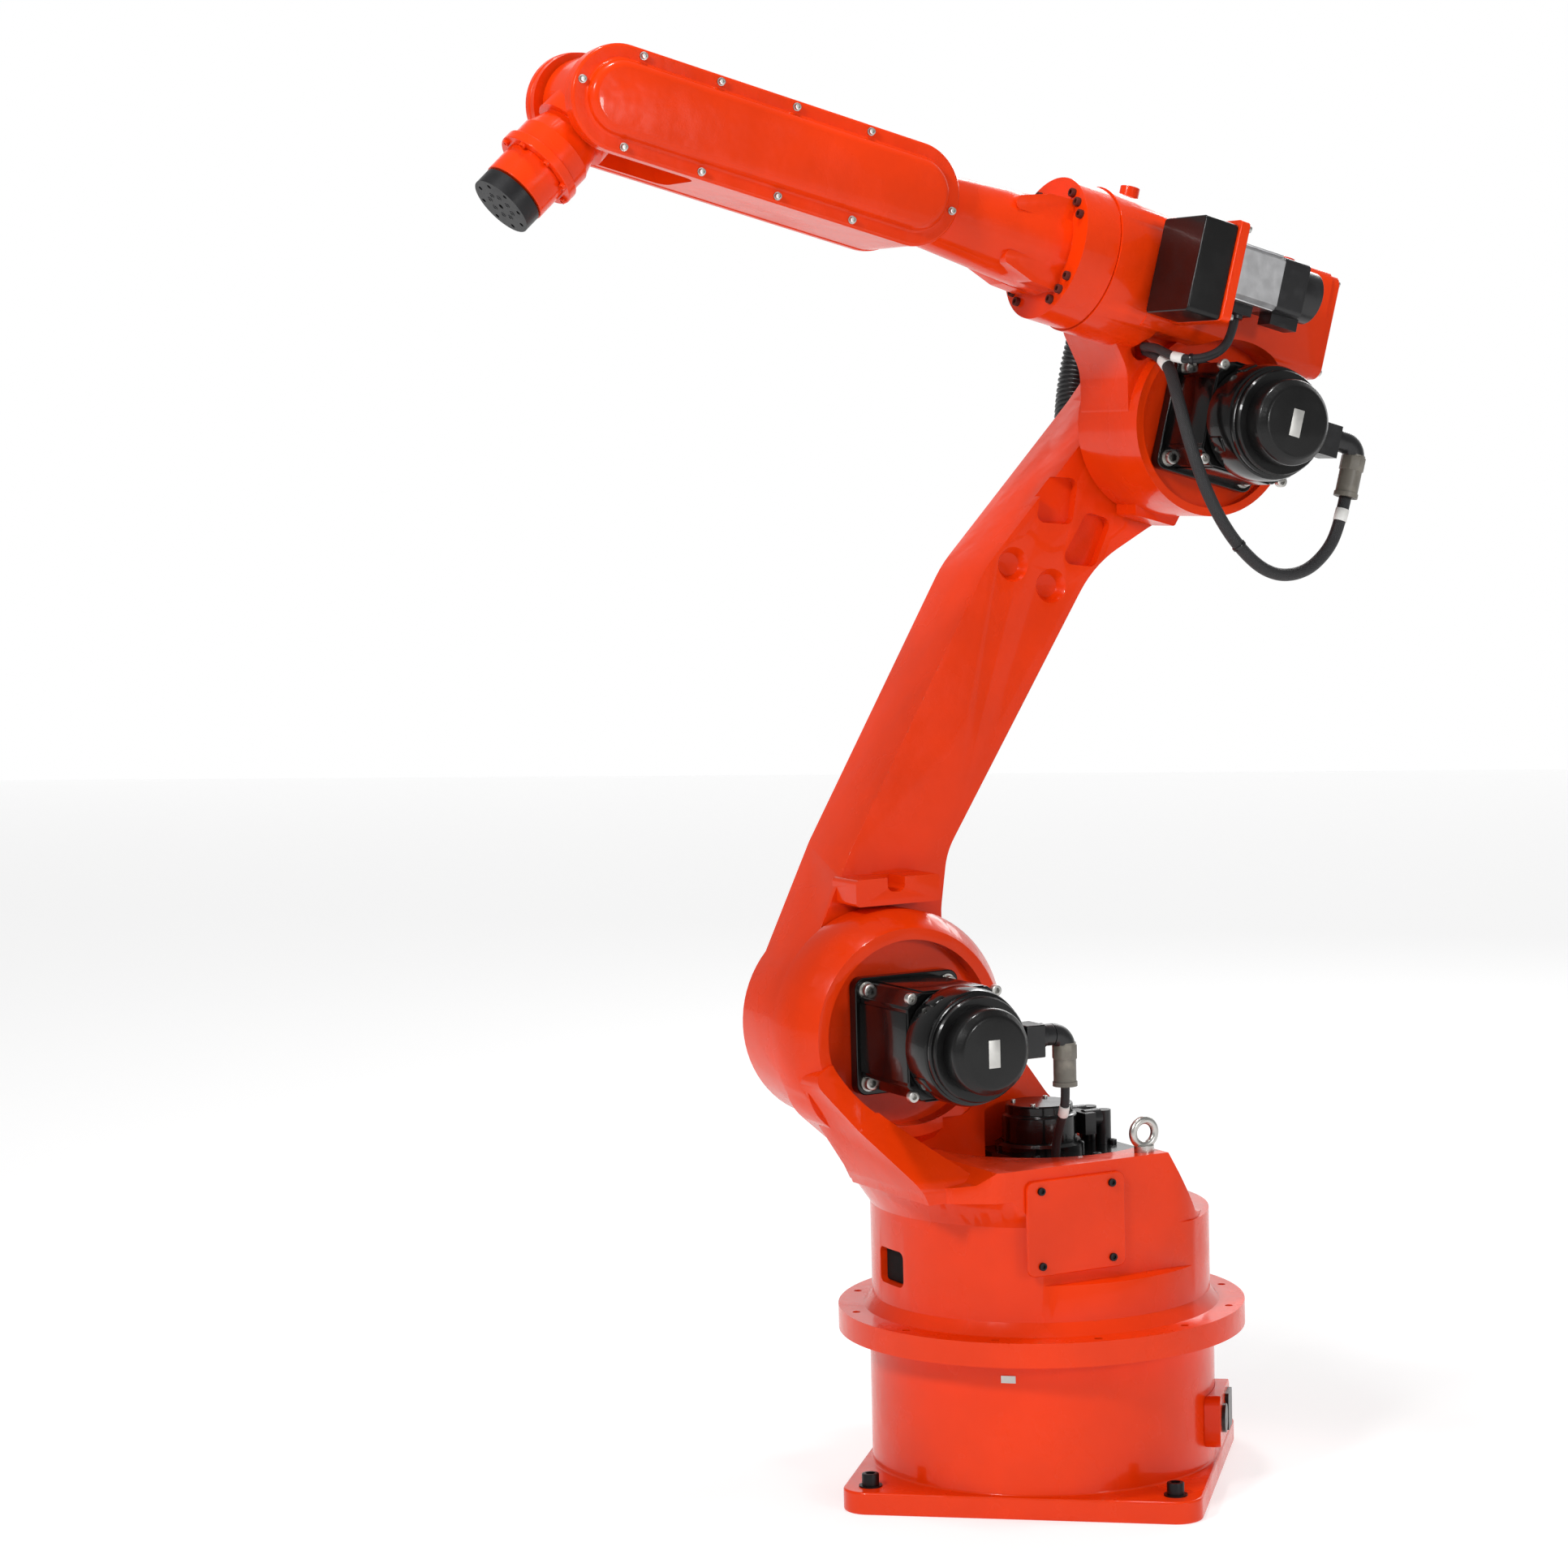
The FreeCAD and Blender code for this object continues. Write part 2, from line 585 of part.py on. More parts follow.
def roll_bearing_ring():
    return rod(ROLL_RING_R, (ROLL_SEAM_X - 12, ROLL_AXIS_Y, ROLL_AXIS_Z), X_AXIS,
               12 + SEAM_GAP - RUN_GAP)


def elbow_rear_cover():
    y0, z0 = ROLL_AXIS_Y, ROLL_AXIS_Z
    return cross_plate(rectangle(y0 - 68, y0 + 64, z0 - 60, z0 + 60), [14] * 4,
                       ELBOW_BOX_REAR - REAR_COVER_T, ELBOW_BOX_REAR)


def roll_motor_plate():
    return cross_plate(rectangle(ROLL_AXIS_Y + 66, 194, 86, 198), [6] * 4, *ROLL_PLATE_X)


def roll_gear_cover():
    y0 = ROLL_AXIS_Y + ROLL_HOUSING_R + 1.0
    return cross_plate(rectangle(y0, 190, 86, 192), [5] * 4, ROLL_PLATE_X[1], ROLL_PLATE_X[1] + 43)


def roll_motor_body():
    y, z, h = ROLL_MOTOR_Y, ROLL_MOTOR_Z, ROLL_MOTOR_HALF
    outline = [(y + a, z + b) for a, b in motor_outline(2 * h, 5)]
    return cross_plate(outline, [0] * 8, ROLL_PLATE_X[0] - 62, ROLL_PLATE_X[0])


def roll_motor_encoder():
    y, z, h = ROLL_MOTOR_Y, ROLL_MOTOR_Z, ROLL_MOTOR_HALF
    x = ROLL_PLATE_X[0] - 62
    block = cross_plate(rectangle(y - h, y + h, z - h, z + h), [6] * 4, x - 34, x)
    cap = rod(h - 1, (x - 58, y, z), X_AXIS, 30)
    plug = box(x - 44, x - 8, y - 12, y + 12, z - h - 12, z - h + 2)
    return block.fuse([cap, plug]).removeSplitter()


def roll_motor_connector():
    x, y, z = ROLL_PLUG
    block = box(x - 12, x + 12, y - 12, y + 12, z + 4, z + 16)
    return block.fuse(rod(8, (x, y, z), Z_AXIS, 6)).removeSplitter()


def hose_bracket():
    """Square pad and short spigot on the far side of the elbow that hold the hose."""
    x, z = HOSE_BRACKET_X, HOSE_BRACKET_Z
    spigot = rod(HOSE_R + 7, (x, HOSE_BRACKET_Y, z), Y_AXIS, HUB_FAR_Y - HOSE_BRACKET_Y)
    pad = side_plate(rectangle(x - 38, x + 38, z - 38, z + 38), [10] * 4,
                     HUB_FAR_Y - HOSE_PAD_T, HUB_FAR_Y)
    return spigot.fuse(pad).removeSplitter()


# ---------------------------------------------------------------- forearm
def forearm_tube():
    """Tapered round tube from the roll flange to the belt housing."""
    y, z = ROLL_AXIS_Y, ROLL_AXIS_Z
    rear = ROLL_SEAM_X + SEAM_GAP + ROLL_FLANGE_T
    length = COVER_REAR_X - 30 - rear
    body = cone(TUBE_R_REAR, TUBE_R_FRONT, (rear - 1, y, z), X_AXIS, length + 1)
    for side in (-1, 1):
        for level in (-36, 36):
            rib = side_plate([(rear - 2, z + level - 15), (rear + 34, z + level - 13),
                              (rear + 120, z + level * 0.6), (rear + 34, z + level + 13),
                              (rear - 2, z + level + 15)], [0, 8, 8, 8, 0],
                             y + side * 30 - 14, y + side * 30 + 14)
            body = body.fuse(rib)
    return body


def forearm_casting():
    y, z = ROLL_AXIS_Y, ROLL_AXIS_Z
    flange = rod(ROLL_FLANGE_R, (ROLL_SEAM_X + SEAM_GAP, y, z), X_AXIS, ROLL_FLANGE_T)
    housing = stadium(COVER_REAR_X, COVER_NOSE_X, z, COVER_R - 1, y - FOREARM_HALF_W, y + FOREARM_HALF_W)
    body = flange.fuse([forearm_tube(), housing])
    slot_end = FOREARM_LEN - FORK_BOTTOM
    slot = floor_plate(rectangle(slot_end, FOREARM_LEN + 100, y - FORK_HALF_W, y + FORK_HALF_W),
                       [14, 0, 0, 14], z - 100, z + 100)
    return body.cut(slot).removeSplitter()


def forearm_cover(side):
    """Belt cover: flat screwed rim with a raised middle."""
    y, z = ROLL_AXIS_Y, ROLL_AXIS_Z
    inner = y + side * FOREARM_HALF_W
    outer = inner + side * COVER_T
    rim = stadium(COVER_REAR_X, COVER_NOSE_X, z, COVER_R, inner, outer)
    middle = stadium(COVER_REAR_X, COVER_NOSE_X, z, COVER_R - 17, outer, outer + side * COVER_RAISE)
    return rim.fuse(middle).removeSplitter()


# ---------------------------------------------------------------- wrist and tool


def wrist_housing():
    barrel = rod(BARREL_R, (0, -BARREL_HALF_W, 0), Y_AXIS, 2 * BARREL_HALF_W)
    tube_body = rod(WRIST_TUBE_R, (0, 0, 0), X_AXIS, BOLT_RING_AT)
    clip = box(-90, BARREL_R - 2, -BARREL_HALF_W, BARREL_HALF_W, -90, 90)
    clip = clip.fuse(box(COVER_R + 16, 200, -90, 90, -90, 90))
    neck_in = cone(BARREL_HALF_W, WRIST_TUBE_R, (BARREL_R - 4, 0, 0), X_AXIS, 28)
    tube_body = tube_body.common(clip)
    return barrel.fuse([tube_body, neck_in]).removeSplitter()


def wrist_pivots():
    discs = []
    for side in (-1, 1):
        start = BARREL_HALF_W if side > 0 else -BARREL_HALF_W - SWING_GAP + RUN_GAP
        discs.append(rod(PIVOT_R, (0, start, 0), Y_AXIS, SWING_GAP - RUN_GAP))
    return Part.makeCompound(discs)


def wrist_bolt_ring():
    return rod(BOLT_RING_R, (BOLT_RING_AT, 0, 0), X_AXIS, BOLT_RING_T)


def wrist_neck():
    start = BOLT_RING_AT + BOLT_RING_T
    neck = rod(NECK_R, (start, 0, 0), X_AXIS, NECK_END - start)
    return neck.cut(rod(TOOL_SPIGOT_R + RUN_GAP, (NECK_END - 12, 0, 0), X_AXIS, 13))


def tool_flange():
    disc = rod(TOOL_R, (TOOL_FACE - TOOL_T, 0, 0), X_AXIS, TOOL_T)
    spigot = rod(TOOL_SPIGOT_R, (NECK_END - 11, 0, 0), X_AXIS, TOOL_FACE - TOOL_T - NECK_END + 11)
    disc = disc.fuse(spigot)
    for y, z in ring_points(TOOL_HOLES, TOOL_BOLT_R, 22.5):
        disc = disc.cut(rod(TOOL_HOLE_R, (TOOL_FACE - 12, y, z), X_AXIS, 13))
    return disc.cut(rod(3, (TOOL_FACE - 4, 0, 0), X_AXIS, 5)).removeSplitter()


# ---------------------------------------------------------------- hose and cables
# Free hose loop, elbow frame: out of the elbow's spigot, down and back in to the clamp.
HOSE_LOOP = [(14, -112.3, 158), (14, -160, 158), (10, -210, 148), (4, -246, 118), (-4, -262, 74),
             (-6, -258, 26), (-4, -238, -20), (3.4, -212, -61.1), (20.5, -194, -101.2),
             (34.8, -194, -142.9)]

# Held hose, lower-arm frame: from that clamp down the far side of the arm to the gland.
HELD_HOSE = [(-2, -194, 612), (2.5, -194, 553), (10, -194, 470), (18, -194, 390), (24, -194, 310),
             (28, -194, 225), (28, -194, 130.3)]

# Elbow motor cable, elbow frame: from the hole in the elbow round to the motor plug.
ELBOW_MOTOR_CABLE = [(98.3, 42, 60), (98.3, 86, 52), (98, 124, 6), (82, 149, -50), (50, 160, -102),
                     (8, 166, -141), (-40, 168, -162), (-84, 168, -150), (-112, 166, -116),
                     (-120, 164, -82), (-120, 164, -54)]

# Shoulder motor cable, turret frame: from the motor plug down to a gland beside the turning motor.
SHOULDER_MOTOR_CABLE = [(46, 134, 465.7), (46, 134, 450), (44, 126, 433), (38, 107, 413),
                        (34.5, 94.5, 396), (34, 92, 378)]

# Roll motor cable, elbow frame: from its plug down and forward into the hole in the elbow.
ROLL_MOTOR_CABLE = [(64, 152, 100.7), (64, 152, 80), (72, 150, 62), (88, 142, 50), (104, 126, 46),
                    (111, 104, 51), (111.2, 80, 59), (111.2, 56, 60)]


def clamp_band(centre, axis):
    axis = Vector(axis).normalize()
    start = Vector(*centre) - axis * (CLAMP_W / 2)
    band = Part.makeCylinder(HOSE_R + RUN_GAP + CLAMP_T, CLAMP_W, start, axis)
    return band.cut(Part.makeCylinder(HOSE_R + RUN_GAP, CLAMP_W, start, axis))


def hose_clamp(centre, axis):
    """Steel band round the hose, on a lug that stands on the arm's far side."""
    x, y, z = centre
    lug = box(x - 9, x + 9, y + HOSE_R - 4, ARM_FAR_Y, z - 9, z + 9)
    span = 60
    along = Vector(axis).normalize()
    clear = Part.makeCylinder(HOSE_R + RUN_GAP, span, Vector(x, y, z) - along * (span / 2), along)
    return clamp_band(centre, axis).fuse(lug.cut(clear)).cut(arm_block()).removeSplitter()


def arm_block():
    """The arm's full outline, to trim what stands against its far side."""
    points, radii = arm_outline()
    return side_plate(points, radii, ARM_FAR_Y, arm_near_y())


def hose_gland():
    """Fitting on the arm's root that takes the end of the hose."""
    x, y, z0, z1 = HOSE_GLAND
    sleeve = rod(HOSE_R + 5, (x, y, z0 + 20), Z_AXIS, z1 - z0 - 20)
    foot = box(x - 30, x + 30, y - HOSE_R - 5, ARM_FAR_Y, z0, z0 + 46)
    return sleeve.fuse(foot).cut(arm_block()).removeSplitter()


def cable_gland(point, height):
    x, y, _ = point
    return rod(9, (x, y, YAW_WELL_Z + YAW_PLATE_T), Z_AXIS, height)


def save_motor(name, seat_y, body_len, place):
    save(name + "_flange", motor_flange(seat_y), place)
    save(name + "_body", motor_body(seat_y, body_len), place)
    save(name + "_encoder", motor_encoder(seat_y, body_len), place)
    save(name + "_socket", motor_socket(seat_y, body_len), place)
    save(name + "_plug", motor_plug(seat_y, body_len), place)


def main():
    os.makedirs("parts", exist_ok=True)
    base = Placement()
    save("base_casting", base_casting(), base)
    save("yaw_gearbox", yaw_gearbox(), base)
    save("base_connector_box", base_connector_box(), base)
    save("base_sockets", base_sockets(), base)

    save("turret_casting", turret_casting(), TURRET)
    save("turret_cover_left", turret_cover(1), TURRET)
    save("turret_cover_right", turret_cover(-1), TURRET)
    save("yaw_motor_plate", yaw_motor_plate(), TURRET)
    save("yaw_motor", yaw_motor(), TURRET)
    save("yaw_motor_connector", yaw_motor_connector(), TURRET)
    save("lifting_eyes", lifting_eyes(), TURRET)
    save("shoulder_gearbox", shoulder_gearbox(), TURRET)
    shoulder = TURRET * shift(SHOULDER_X, 0, SHOULDER_Z)
    save_motor("shoulder_motor", SHOULDER_SEAT_Y, SHOULDER_BODY_LEN, shoulder)
    gland_top = SHOULDER_MOTOR_CABLE[-1]
    gland_h = gland_top[2] - 0.5 - YAW_WELL_Z - YAW_PLATE_T
    save("shoulder_cable_gland", cable_gland(gland_top, gland_h), TURRET)
    save("shoulder_motor_cable", tube("shoulder_motor_cable", SHOULDER_MOTOR_CABLE, THIN_CABLE_R), TURRET)

    save("lower_arm_casting", lower_arm_casting(), LOWER_ARM)
    save("upper_hose_clamp", hose_clamp(UPPER_CLAMP, UPPER_CLAMP_AXIS), LOWER_ARM)
    save("lower_hose_clamp", hose_clamp(LOWER_CLAMP, LOWER_CLAMP_AXIS), LOWER_ARM)
    save("hose_gland", hose_gland(), LOWER_ARM)
    save("held_hose", tube("held_hose", HELD_HOSE, HOSE_R), LOWER_ARM)
    save("hose_loop", tube("hose_loop", HOSE_LOOP, HOSE_R), ELBOW)

    save("elbow_casting", elbow_casting(), ELBOW)
    save("elbow_gearbox", elbow_gearbox(), ELBOW)
    save("elbow_rear_cover", elbow_rear_cover(), ELBOW)
    save("roll_bearing_ring", roll_bearing_ring(), ELBOW)
    save_motor("elbow_motor", HUB_SEAT_Y, ELBOW_BODY_LEN, ELBOW)
    save("roll_motor_plate", roll_motor_plate(), ELBOW)
    save("roll_gear_cover", roll_gear_cover(), ELBOW)
    save("roll_motor_body", roll_motor_body(), ELBOW)
    save("roll_motor_encoder", roll_motor_encoder(), ELBOW)
    save("roll_motor_plug", roll_motor_connector(), ELBOW)
    save("hose_bracket", hose_bracket(), ELBOW)
    save("elbow_motor_cable", tube("elbow_motor_cable", ELBOW_MOTOR_CABLE, CABLE_R), ELBOW)
    save("roll_motor_cable", tube("roll_motor_cable", ROLL_MOTOR_CABLE, THIN_CABLE_R), ELBOW)

    save("forearm_casting", forearm_casting(), ELBOW)
    save("forearm_cover_left", forearm_cover(1), ELBOW)
    save("forearm_cover_right", forearm_cover(-1), ELBOW)

    save("wrist_housing", wrist_housing(), WRIST)
    save("wrist_pivots", wrist_pivots(), WRIST)
    save("wrist_bolt_ring", wrist_bolt_ring(), WRIST)
    save("wrist_neck", wrist_neck(), WRIST)
    save("tool_flange", tool_flange(), WRIST)


main()
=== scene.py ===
import json
import math
from functools import partial

import bmesh
import bpy
from bpy.props import FloatProperty, FloatVectorProperty, PointerProperty
from mathutils import Matrix, Vector
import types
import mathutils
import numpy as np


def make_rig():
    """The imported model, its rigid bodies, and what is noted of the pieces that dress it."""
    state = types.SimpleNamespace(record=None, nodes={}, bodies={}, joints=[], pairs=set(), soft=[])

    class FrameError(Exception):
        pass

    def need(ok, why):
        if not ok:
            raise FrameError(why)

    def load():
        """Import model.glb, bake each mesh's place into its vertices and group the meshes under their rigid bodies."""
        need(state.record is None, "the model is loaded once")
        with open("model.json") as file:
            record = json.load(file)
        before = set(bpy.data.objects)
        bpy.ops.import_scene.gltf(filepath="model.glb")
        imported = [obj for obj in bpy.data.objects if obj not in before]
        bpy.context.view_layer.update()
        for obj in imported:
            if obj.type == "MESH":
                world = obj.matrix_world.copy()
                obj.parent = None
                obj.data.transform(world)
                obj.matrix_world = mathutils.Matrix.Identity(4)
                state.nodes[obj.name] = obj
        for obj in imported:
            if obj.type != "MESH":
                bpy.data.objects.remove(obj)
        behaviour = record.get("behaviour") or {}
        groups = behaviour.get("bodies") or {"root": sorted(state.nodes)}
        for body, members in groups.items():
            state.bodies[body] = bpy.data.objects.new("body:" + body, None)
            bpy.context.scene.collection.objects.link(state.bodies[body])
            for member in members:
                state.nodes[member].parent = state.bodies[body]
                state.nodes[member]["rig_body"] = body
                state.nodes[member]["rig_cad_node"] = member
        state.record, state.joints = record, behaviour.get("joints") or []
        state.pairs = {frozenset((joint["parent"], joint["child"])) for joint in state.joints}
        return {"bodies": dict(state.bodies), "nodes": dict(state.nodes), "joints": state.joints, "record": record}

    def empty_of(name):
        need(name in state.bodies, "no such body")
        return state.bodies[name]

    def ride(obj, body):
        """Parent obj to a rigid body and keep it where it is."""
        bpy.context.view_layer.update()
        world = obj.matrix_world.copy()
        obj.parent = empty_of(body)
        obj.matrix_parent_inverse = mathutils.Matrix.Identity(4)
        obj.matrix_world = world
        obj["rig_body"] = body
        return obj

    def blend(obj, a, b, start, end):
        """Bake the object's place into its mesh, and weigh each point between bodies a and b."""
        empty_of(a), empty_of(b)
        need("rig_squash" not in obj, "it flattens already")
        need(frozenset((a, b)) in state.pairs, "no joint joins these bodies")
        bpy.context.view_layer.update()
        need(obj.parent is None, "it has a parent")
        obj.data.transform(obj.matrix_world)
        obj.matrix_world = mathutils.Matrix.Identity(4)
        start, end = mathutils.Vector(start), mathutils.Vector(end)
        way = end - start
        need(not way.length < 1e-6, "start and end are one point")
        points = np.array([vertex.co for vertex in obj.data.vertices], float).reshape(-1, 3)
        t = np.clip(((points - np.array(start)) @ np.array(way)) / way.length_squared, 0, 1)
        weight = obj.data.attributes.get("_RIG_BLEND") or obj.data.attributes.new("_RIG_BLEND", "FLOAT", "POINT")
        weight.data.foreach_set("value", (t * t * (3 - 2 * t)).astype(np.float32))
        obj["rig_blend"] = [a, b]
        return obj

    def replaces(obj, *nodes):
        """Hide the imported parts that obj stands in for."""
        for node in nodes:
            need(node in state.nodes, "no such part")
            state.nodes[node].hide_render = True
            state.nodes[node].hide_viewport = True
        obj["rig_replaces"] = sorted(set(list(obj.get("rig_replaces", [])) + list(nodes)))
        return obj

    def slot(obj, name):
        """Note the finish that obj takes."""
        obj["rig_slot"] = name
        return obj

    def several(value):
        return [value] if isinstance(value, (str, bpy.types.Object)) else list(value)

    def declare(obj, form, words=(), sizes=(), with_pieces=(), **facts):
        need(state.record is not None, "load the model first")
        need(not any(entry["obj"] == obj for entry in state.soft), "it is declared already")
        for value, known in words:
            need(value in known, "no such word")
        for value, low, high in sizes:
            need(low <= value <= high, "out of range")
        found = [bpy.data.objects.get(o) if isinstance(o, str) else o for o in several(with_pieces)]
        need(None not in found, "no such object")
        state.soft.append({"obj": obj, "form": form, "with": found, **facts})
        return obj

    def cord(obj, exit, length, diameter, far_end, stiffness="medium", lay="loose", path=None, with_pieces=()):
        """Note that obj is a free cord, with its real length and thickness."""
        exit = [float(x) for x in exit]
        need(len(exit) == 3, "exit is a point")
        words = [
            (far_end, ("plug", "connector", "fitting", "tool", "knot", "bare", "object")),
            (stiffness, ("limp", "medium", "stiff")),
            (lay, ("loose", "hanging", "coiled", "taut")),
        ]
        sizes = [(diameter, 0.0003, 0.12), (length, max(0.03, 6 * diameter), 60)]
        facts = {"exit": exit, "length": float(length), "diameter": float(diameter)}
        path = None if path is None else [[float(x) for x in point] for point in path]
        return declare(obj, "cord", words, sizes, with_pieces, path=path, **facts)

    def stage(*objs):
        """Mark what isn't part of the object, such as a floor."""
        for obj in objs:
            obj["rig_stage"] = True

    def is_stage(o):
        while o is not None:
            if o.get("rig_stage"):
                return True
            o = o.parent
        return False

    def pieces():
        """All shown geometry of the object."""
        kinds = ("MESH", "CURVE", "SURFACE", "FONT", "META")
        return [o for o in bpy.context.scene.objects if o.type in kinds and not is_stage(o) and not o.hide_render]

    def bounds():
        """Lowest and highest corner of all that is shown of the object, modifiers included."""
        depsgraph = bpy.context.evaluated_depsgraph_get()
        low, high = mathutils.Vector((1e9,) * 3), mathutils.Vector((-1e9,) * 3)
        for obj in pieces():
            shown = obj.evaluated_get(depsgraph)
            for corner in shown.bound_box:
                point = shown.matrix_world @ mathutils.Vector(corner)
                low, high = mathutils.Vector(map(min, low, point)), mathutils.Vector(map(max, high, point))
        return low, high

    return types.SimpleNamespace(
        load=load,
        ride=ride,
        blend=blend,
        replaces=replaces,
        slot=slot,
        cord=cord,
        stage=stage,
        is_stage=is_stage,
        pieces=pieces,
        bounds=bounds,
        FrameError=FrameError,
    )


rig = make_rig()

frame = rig.load()
cad_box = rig.bounds()

bl_info = {
    "name": "Jointed Arm Dressing",
    "version": (1, 0, 0),
    "blender": (4, 5, 0),
    "location": "3D View > Sidebar > Arm",
    "description": "Adds paint, screws, hoses and fine parts to the packed arm",
    "category": "Object",
}

MM = 0.001

# Rest pose of the arm, in degrees, and its lengths, in millimetres.
YAW_REST, LEAN_BACK, FOREARM_RISE, WRIST_DROP = 40.0, 30.0, 15.5, 58.0
SHOULDER = (166.0, 0.0, 520.0)
LOWER_ARM_LEN = 760.0
ROLL_Y, ROLL_Z = 25.0, 138.0
FOREARM_LEN = 800.0
TOOL_REACH = 157.0


def turned(axis, degrees):
    return Matrix.Rotation(math.radians(degrees), 4, axis)


def moved(x, y, z):
    return Matrix.Translation((x, y, z))


SCALE = Matrix.Scale(MM, 4)
BASE = SCALE
TURRET = SCALE @ turned("Z", YAW_REST)
MOTOR_2 = TURRET @ moved(*SHOULDER)
LOWER_ARM = MOTOR_2 @ turned("Y", -LEAN_BACK)
ELBOW = LOWER_ARM @ moved(0, 0, LOWER_ARM_LEN) @ turned("Y", LEAN_BACK - FOREARM_RISE)
WRIST = ELBOW @ moved(FOREARM_LEN, ROLL_Y, ROLL_Z) @ turned("Y", WRIST_DROP)

# Directions in which a screw or disc can stand: its own Z axis is turned to the named one.
UP = Matrix.Identity(4)
PLUS_X, MINUS_X = turned("Y", 90), turned("Y", -90)
PLUS_Y, MINUS_Y = turned("X", -90), turned("X", 90)


# ---------------------------------------------------------------- shader wiring
class Wire:
    """A shader socket; an operator on it adds the Math node that the operator names."""

    def __init__(self, shader, socket):
        self.shader, self.socket = shader, socket

    def maths(self, operation, *values):
        return self.shader.add("ShaderNodeMath", {"operation": operation},
                               dict(enumerate(values)))

    def __add__(self, other):
        return self.maths("ADD", self, other)

    def __mul__(self, other):
        return self.maths("MULTIPLY", self, other)

    __radd__ = __add__
    __rmul__ = __mul__


class Shader:
    """A node material with one Principled surface."""

    def __init__(self, name):
        self.material = bpy.data.materials.new(name)
        self.material.use_nodes = True
        self.tree = self.material.node_tree
        self.surface = self.tree.nodes["Principled BSDF"]

    def add(self, kind, settings=None, values=None, output=0):
        node = self.tree.nodes.new(kind)
        for key, value in (settings or {}).items():
            setattr(node, key, value)
        for key, value in (values or {}).items():
            self.feed(node.inputs[key], value)
        return Wire(self, node.outputs[output])

    def feed(self, socket, value):
        if isinstance(value, Wire):
            self.tree.links.new(value.socket, socket)
        else:
            socket.default_value = value

    def set(self, **values):
        for key, value in values.items():
            self.feed(self.surface.inputs[key.replace("_", " ")], value)
        return self

    def place(self, stretch=(1, 1, 1)):
        """Object coordinates, squeezed along the axes a pattern is drawn out on."""
        here = self.add("ShaderNodeTexCoord", output=3)
        return self.add("ShaderNodeMapping", None, {"Vector": here, "Scale": stretch})

    def noise(self, where, size, detail=3.0, rough=0.5):
        """Grain from 0 to 1 whose lumps are about size millimetres across."""
        return self.add("ShaderNodeTexNoise", None,
                        {"Vector": where, "Scale": 1.0 / (size * MM), "Detail": detail,
                         "Roughness": rough}, "Fac")

    def ramp(self, fac, low, high):
        return self.add("ShaderNodeMapRange", None,
                        {"Value": fac, "From Min": low, "From Max": high}, 0)

    def mix(self, fac, first, second):
        node = self.tree.nodes.new("ShaderNodeMix")
        node.data_type = "RGBA"
        self.feed(node.inputs["Factor"], fac)
        self.feed(node.inputs[6], first)
        self.feed(node.inputs[7], second)
        return Wire(self, node.outputs[2])

    def bump(self, height, depth, strength=1.0):
        return self.add("ShaderNodeBump", None,
                        {"Height": height, "Distance": depth * MM, "Strength": strength})


def shade(colour, factor):
    return tuple(min(1.0, c * factor) for c in colour[:3]) + (1.0,)


def cast_paint(name, colour, roughness, grain):
    """Gloss paint over a sand casting: slow waves, patches of grain, slight colour drift."""
    s = Shader(name)
    at = s.place()
    patches = s.ramp(s.noise(at, 70, 2), 0.48, 0.68)
    sand = s.noise(at, 2.2, 2) * patches * grain + s.noise(at, 1.1, 1) * 0.12
    waves = s.noise(at, 34, 2)
    drift = s.noise(at, 130, 3)
    s.set(Base_Color=s.mix(s.ramp(drift, 0.3, 0.7), shade(colour, 0.9), shade(colour, 1.08)),
          Roughness=patches * 0.1 + s.noise(at, 9, 2) * 0.06 + roughness,
          Specular_IOR_Level=0.12, Coat_Weight=0.26, Coat_Roughness=0.04,
          Normal=s.bump(sand * 0.35 + waves * 1.3, 0.9))
    return s.material


def smooth_paint(name, colour, roughness, coat=0.2):
    """Black or plain paint with an orange-peel skin and rubbed patches."""
    s = Shader(name)
    at = s.place()
    rubbed = s.ramp(s.noise(at, 30, 4), 0.45, 0.75)
    s.set(Base_Color=s.mix(rubbed, tuple(colour) + (1.0,), shade(colour, 1.6)),
          Roughness=rubbed * 0.12 + s.noise(at, 4, 2) * 0.05 + roughness,
          Specular_IOR_Level=0.25, Coat_Weight=coat, Coat_Roughness=0.07,
          Normal=s.bump(s.noise(at, 1.6, 2), 0.12))
    return s.material


def bare_metal(name, colour, roughness, stretch):
    """Brushed, turned or plated metal: fine lines drawn out along one axis."""
    s = Shader(name)
    lines = s.noise(s.place(stretch), 0.6, 3, 0.6)
    stain = s.noise(s.place(), 14, 3)
    s.set(Base_Color=s.mix(s.ramp(stain, 0.35, 0.75), shade(colour, 0.82), tuple(colour) + (1.0,)),
          Metallic=1.0, Roughness=lines * 0.14 + stain * 0.1 + roughness,
          Normal=s.bump(lines, 0.05))
    return s.material


def moulded(name, colour, roughness, grain_size=0.9):
    """Moulded plastic or rubber with a fine spark-eroded grain."""
    s = Shader(name)
    at = s.place()
    dust = s.ramp(s.noise(at, 16, 4), 0.5, 0.8)
    s.set(Base_Color=s.mix(dust * 0.5, tuple(colour) + (1.0,), shade(colour, 2.2)),
          Roughness=dust * 0.15 + roughness,
          Normal=s.bump(s.noise(at, grain_size, 2), 0.08))
    return s.material


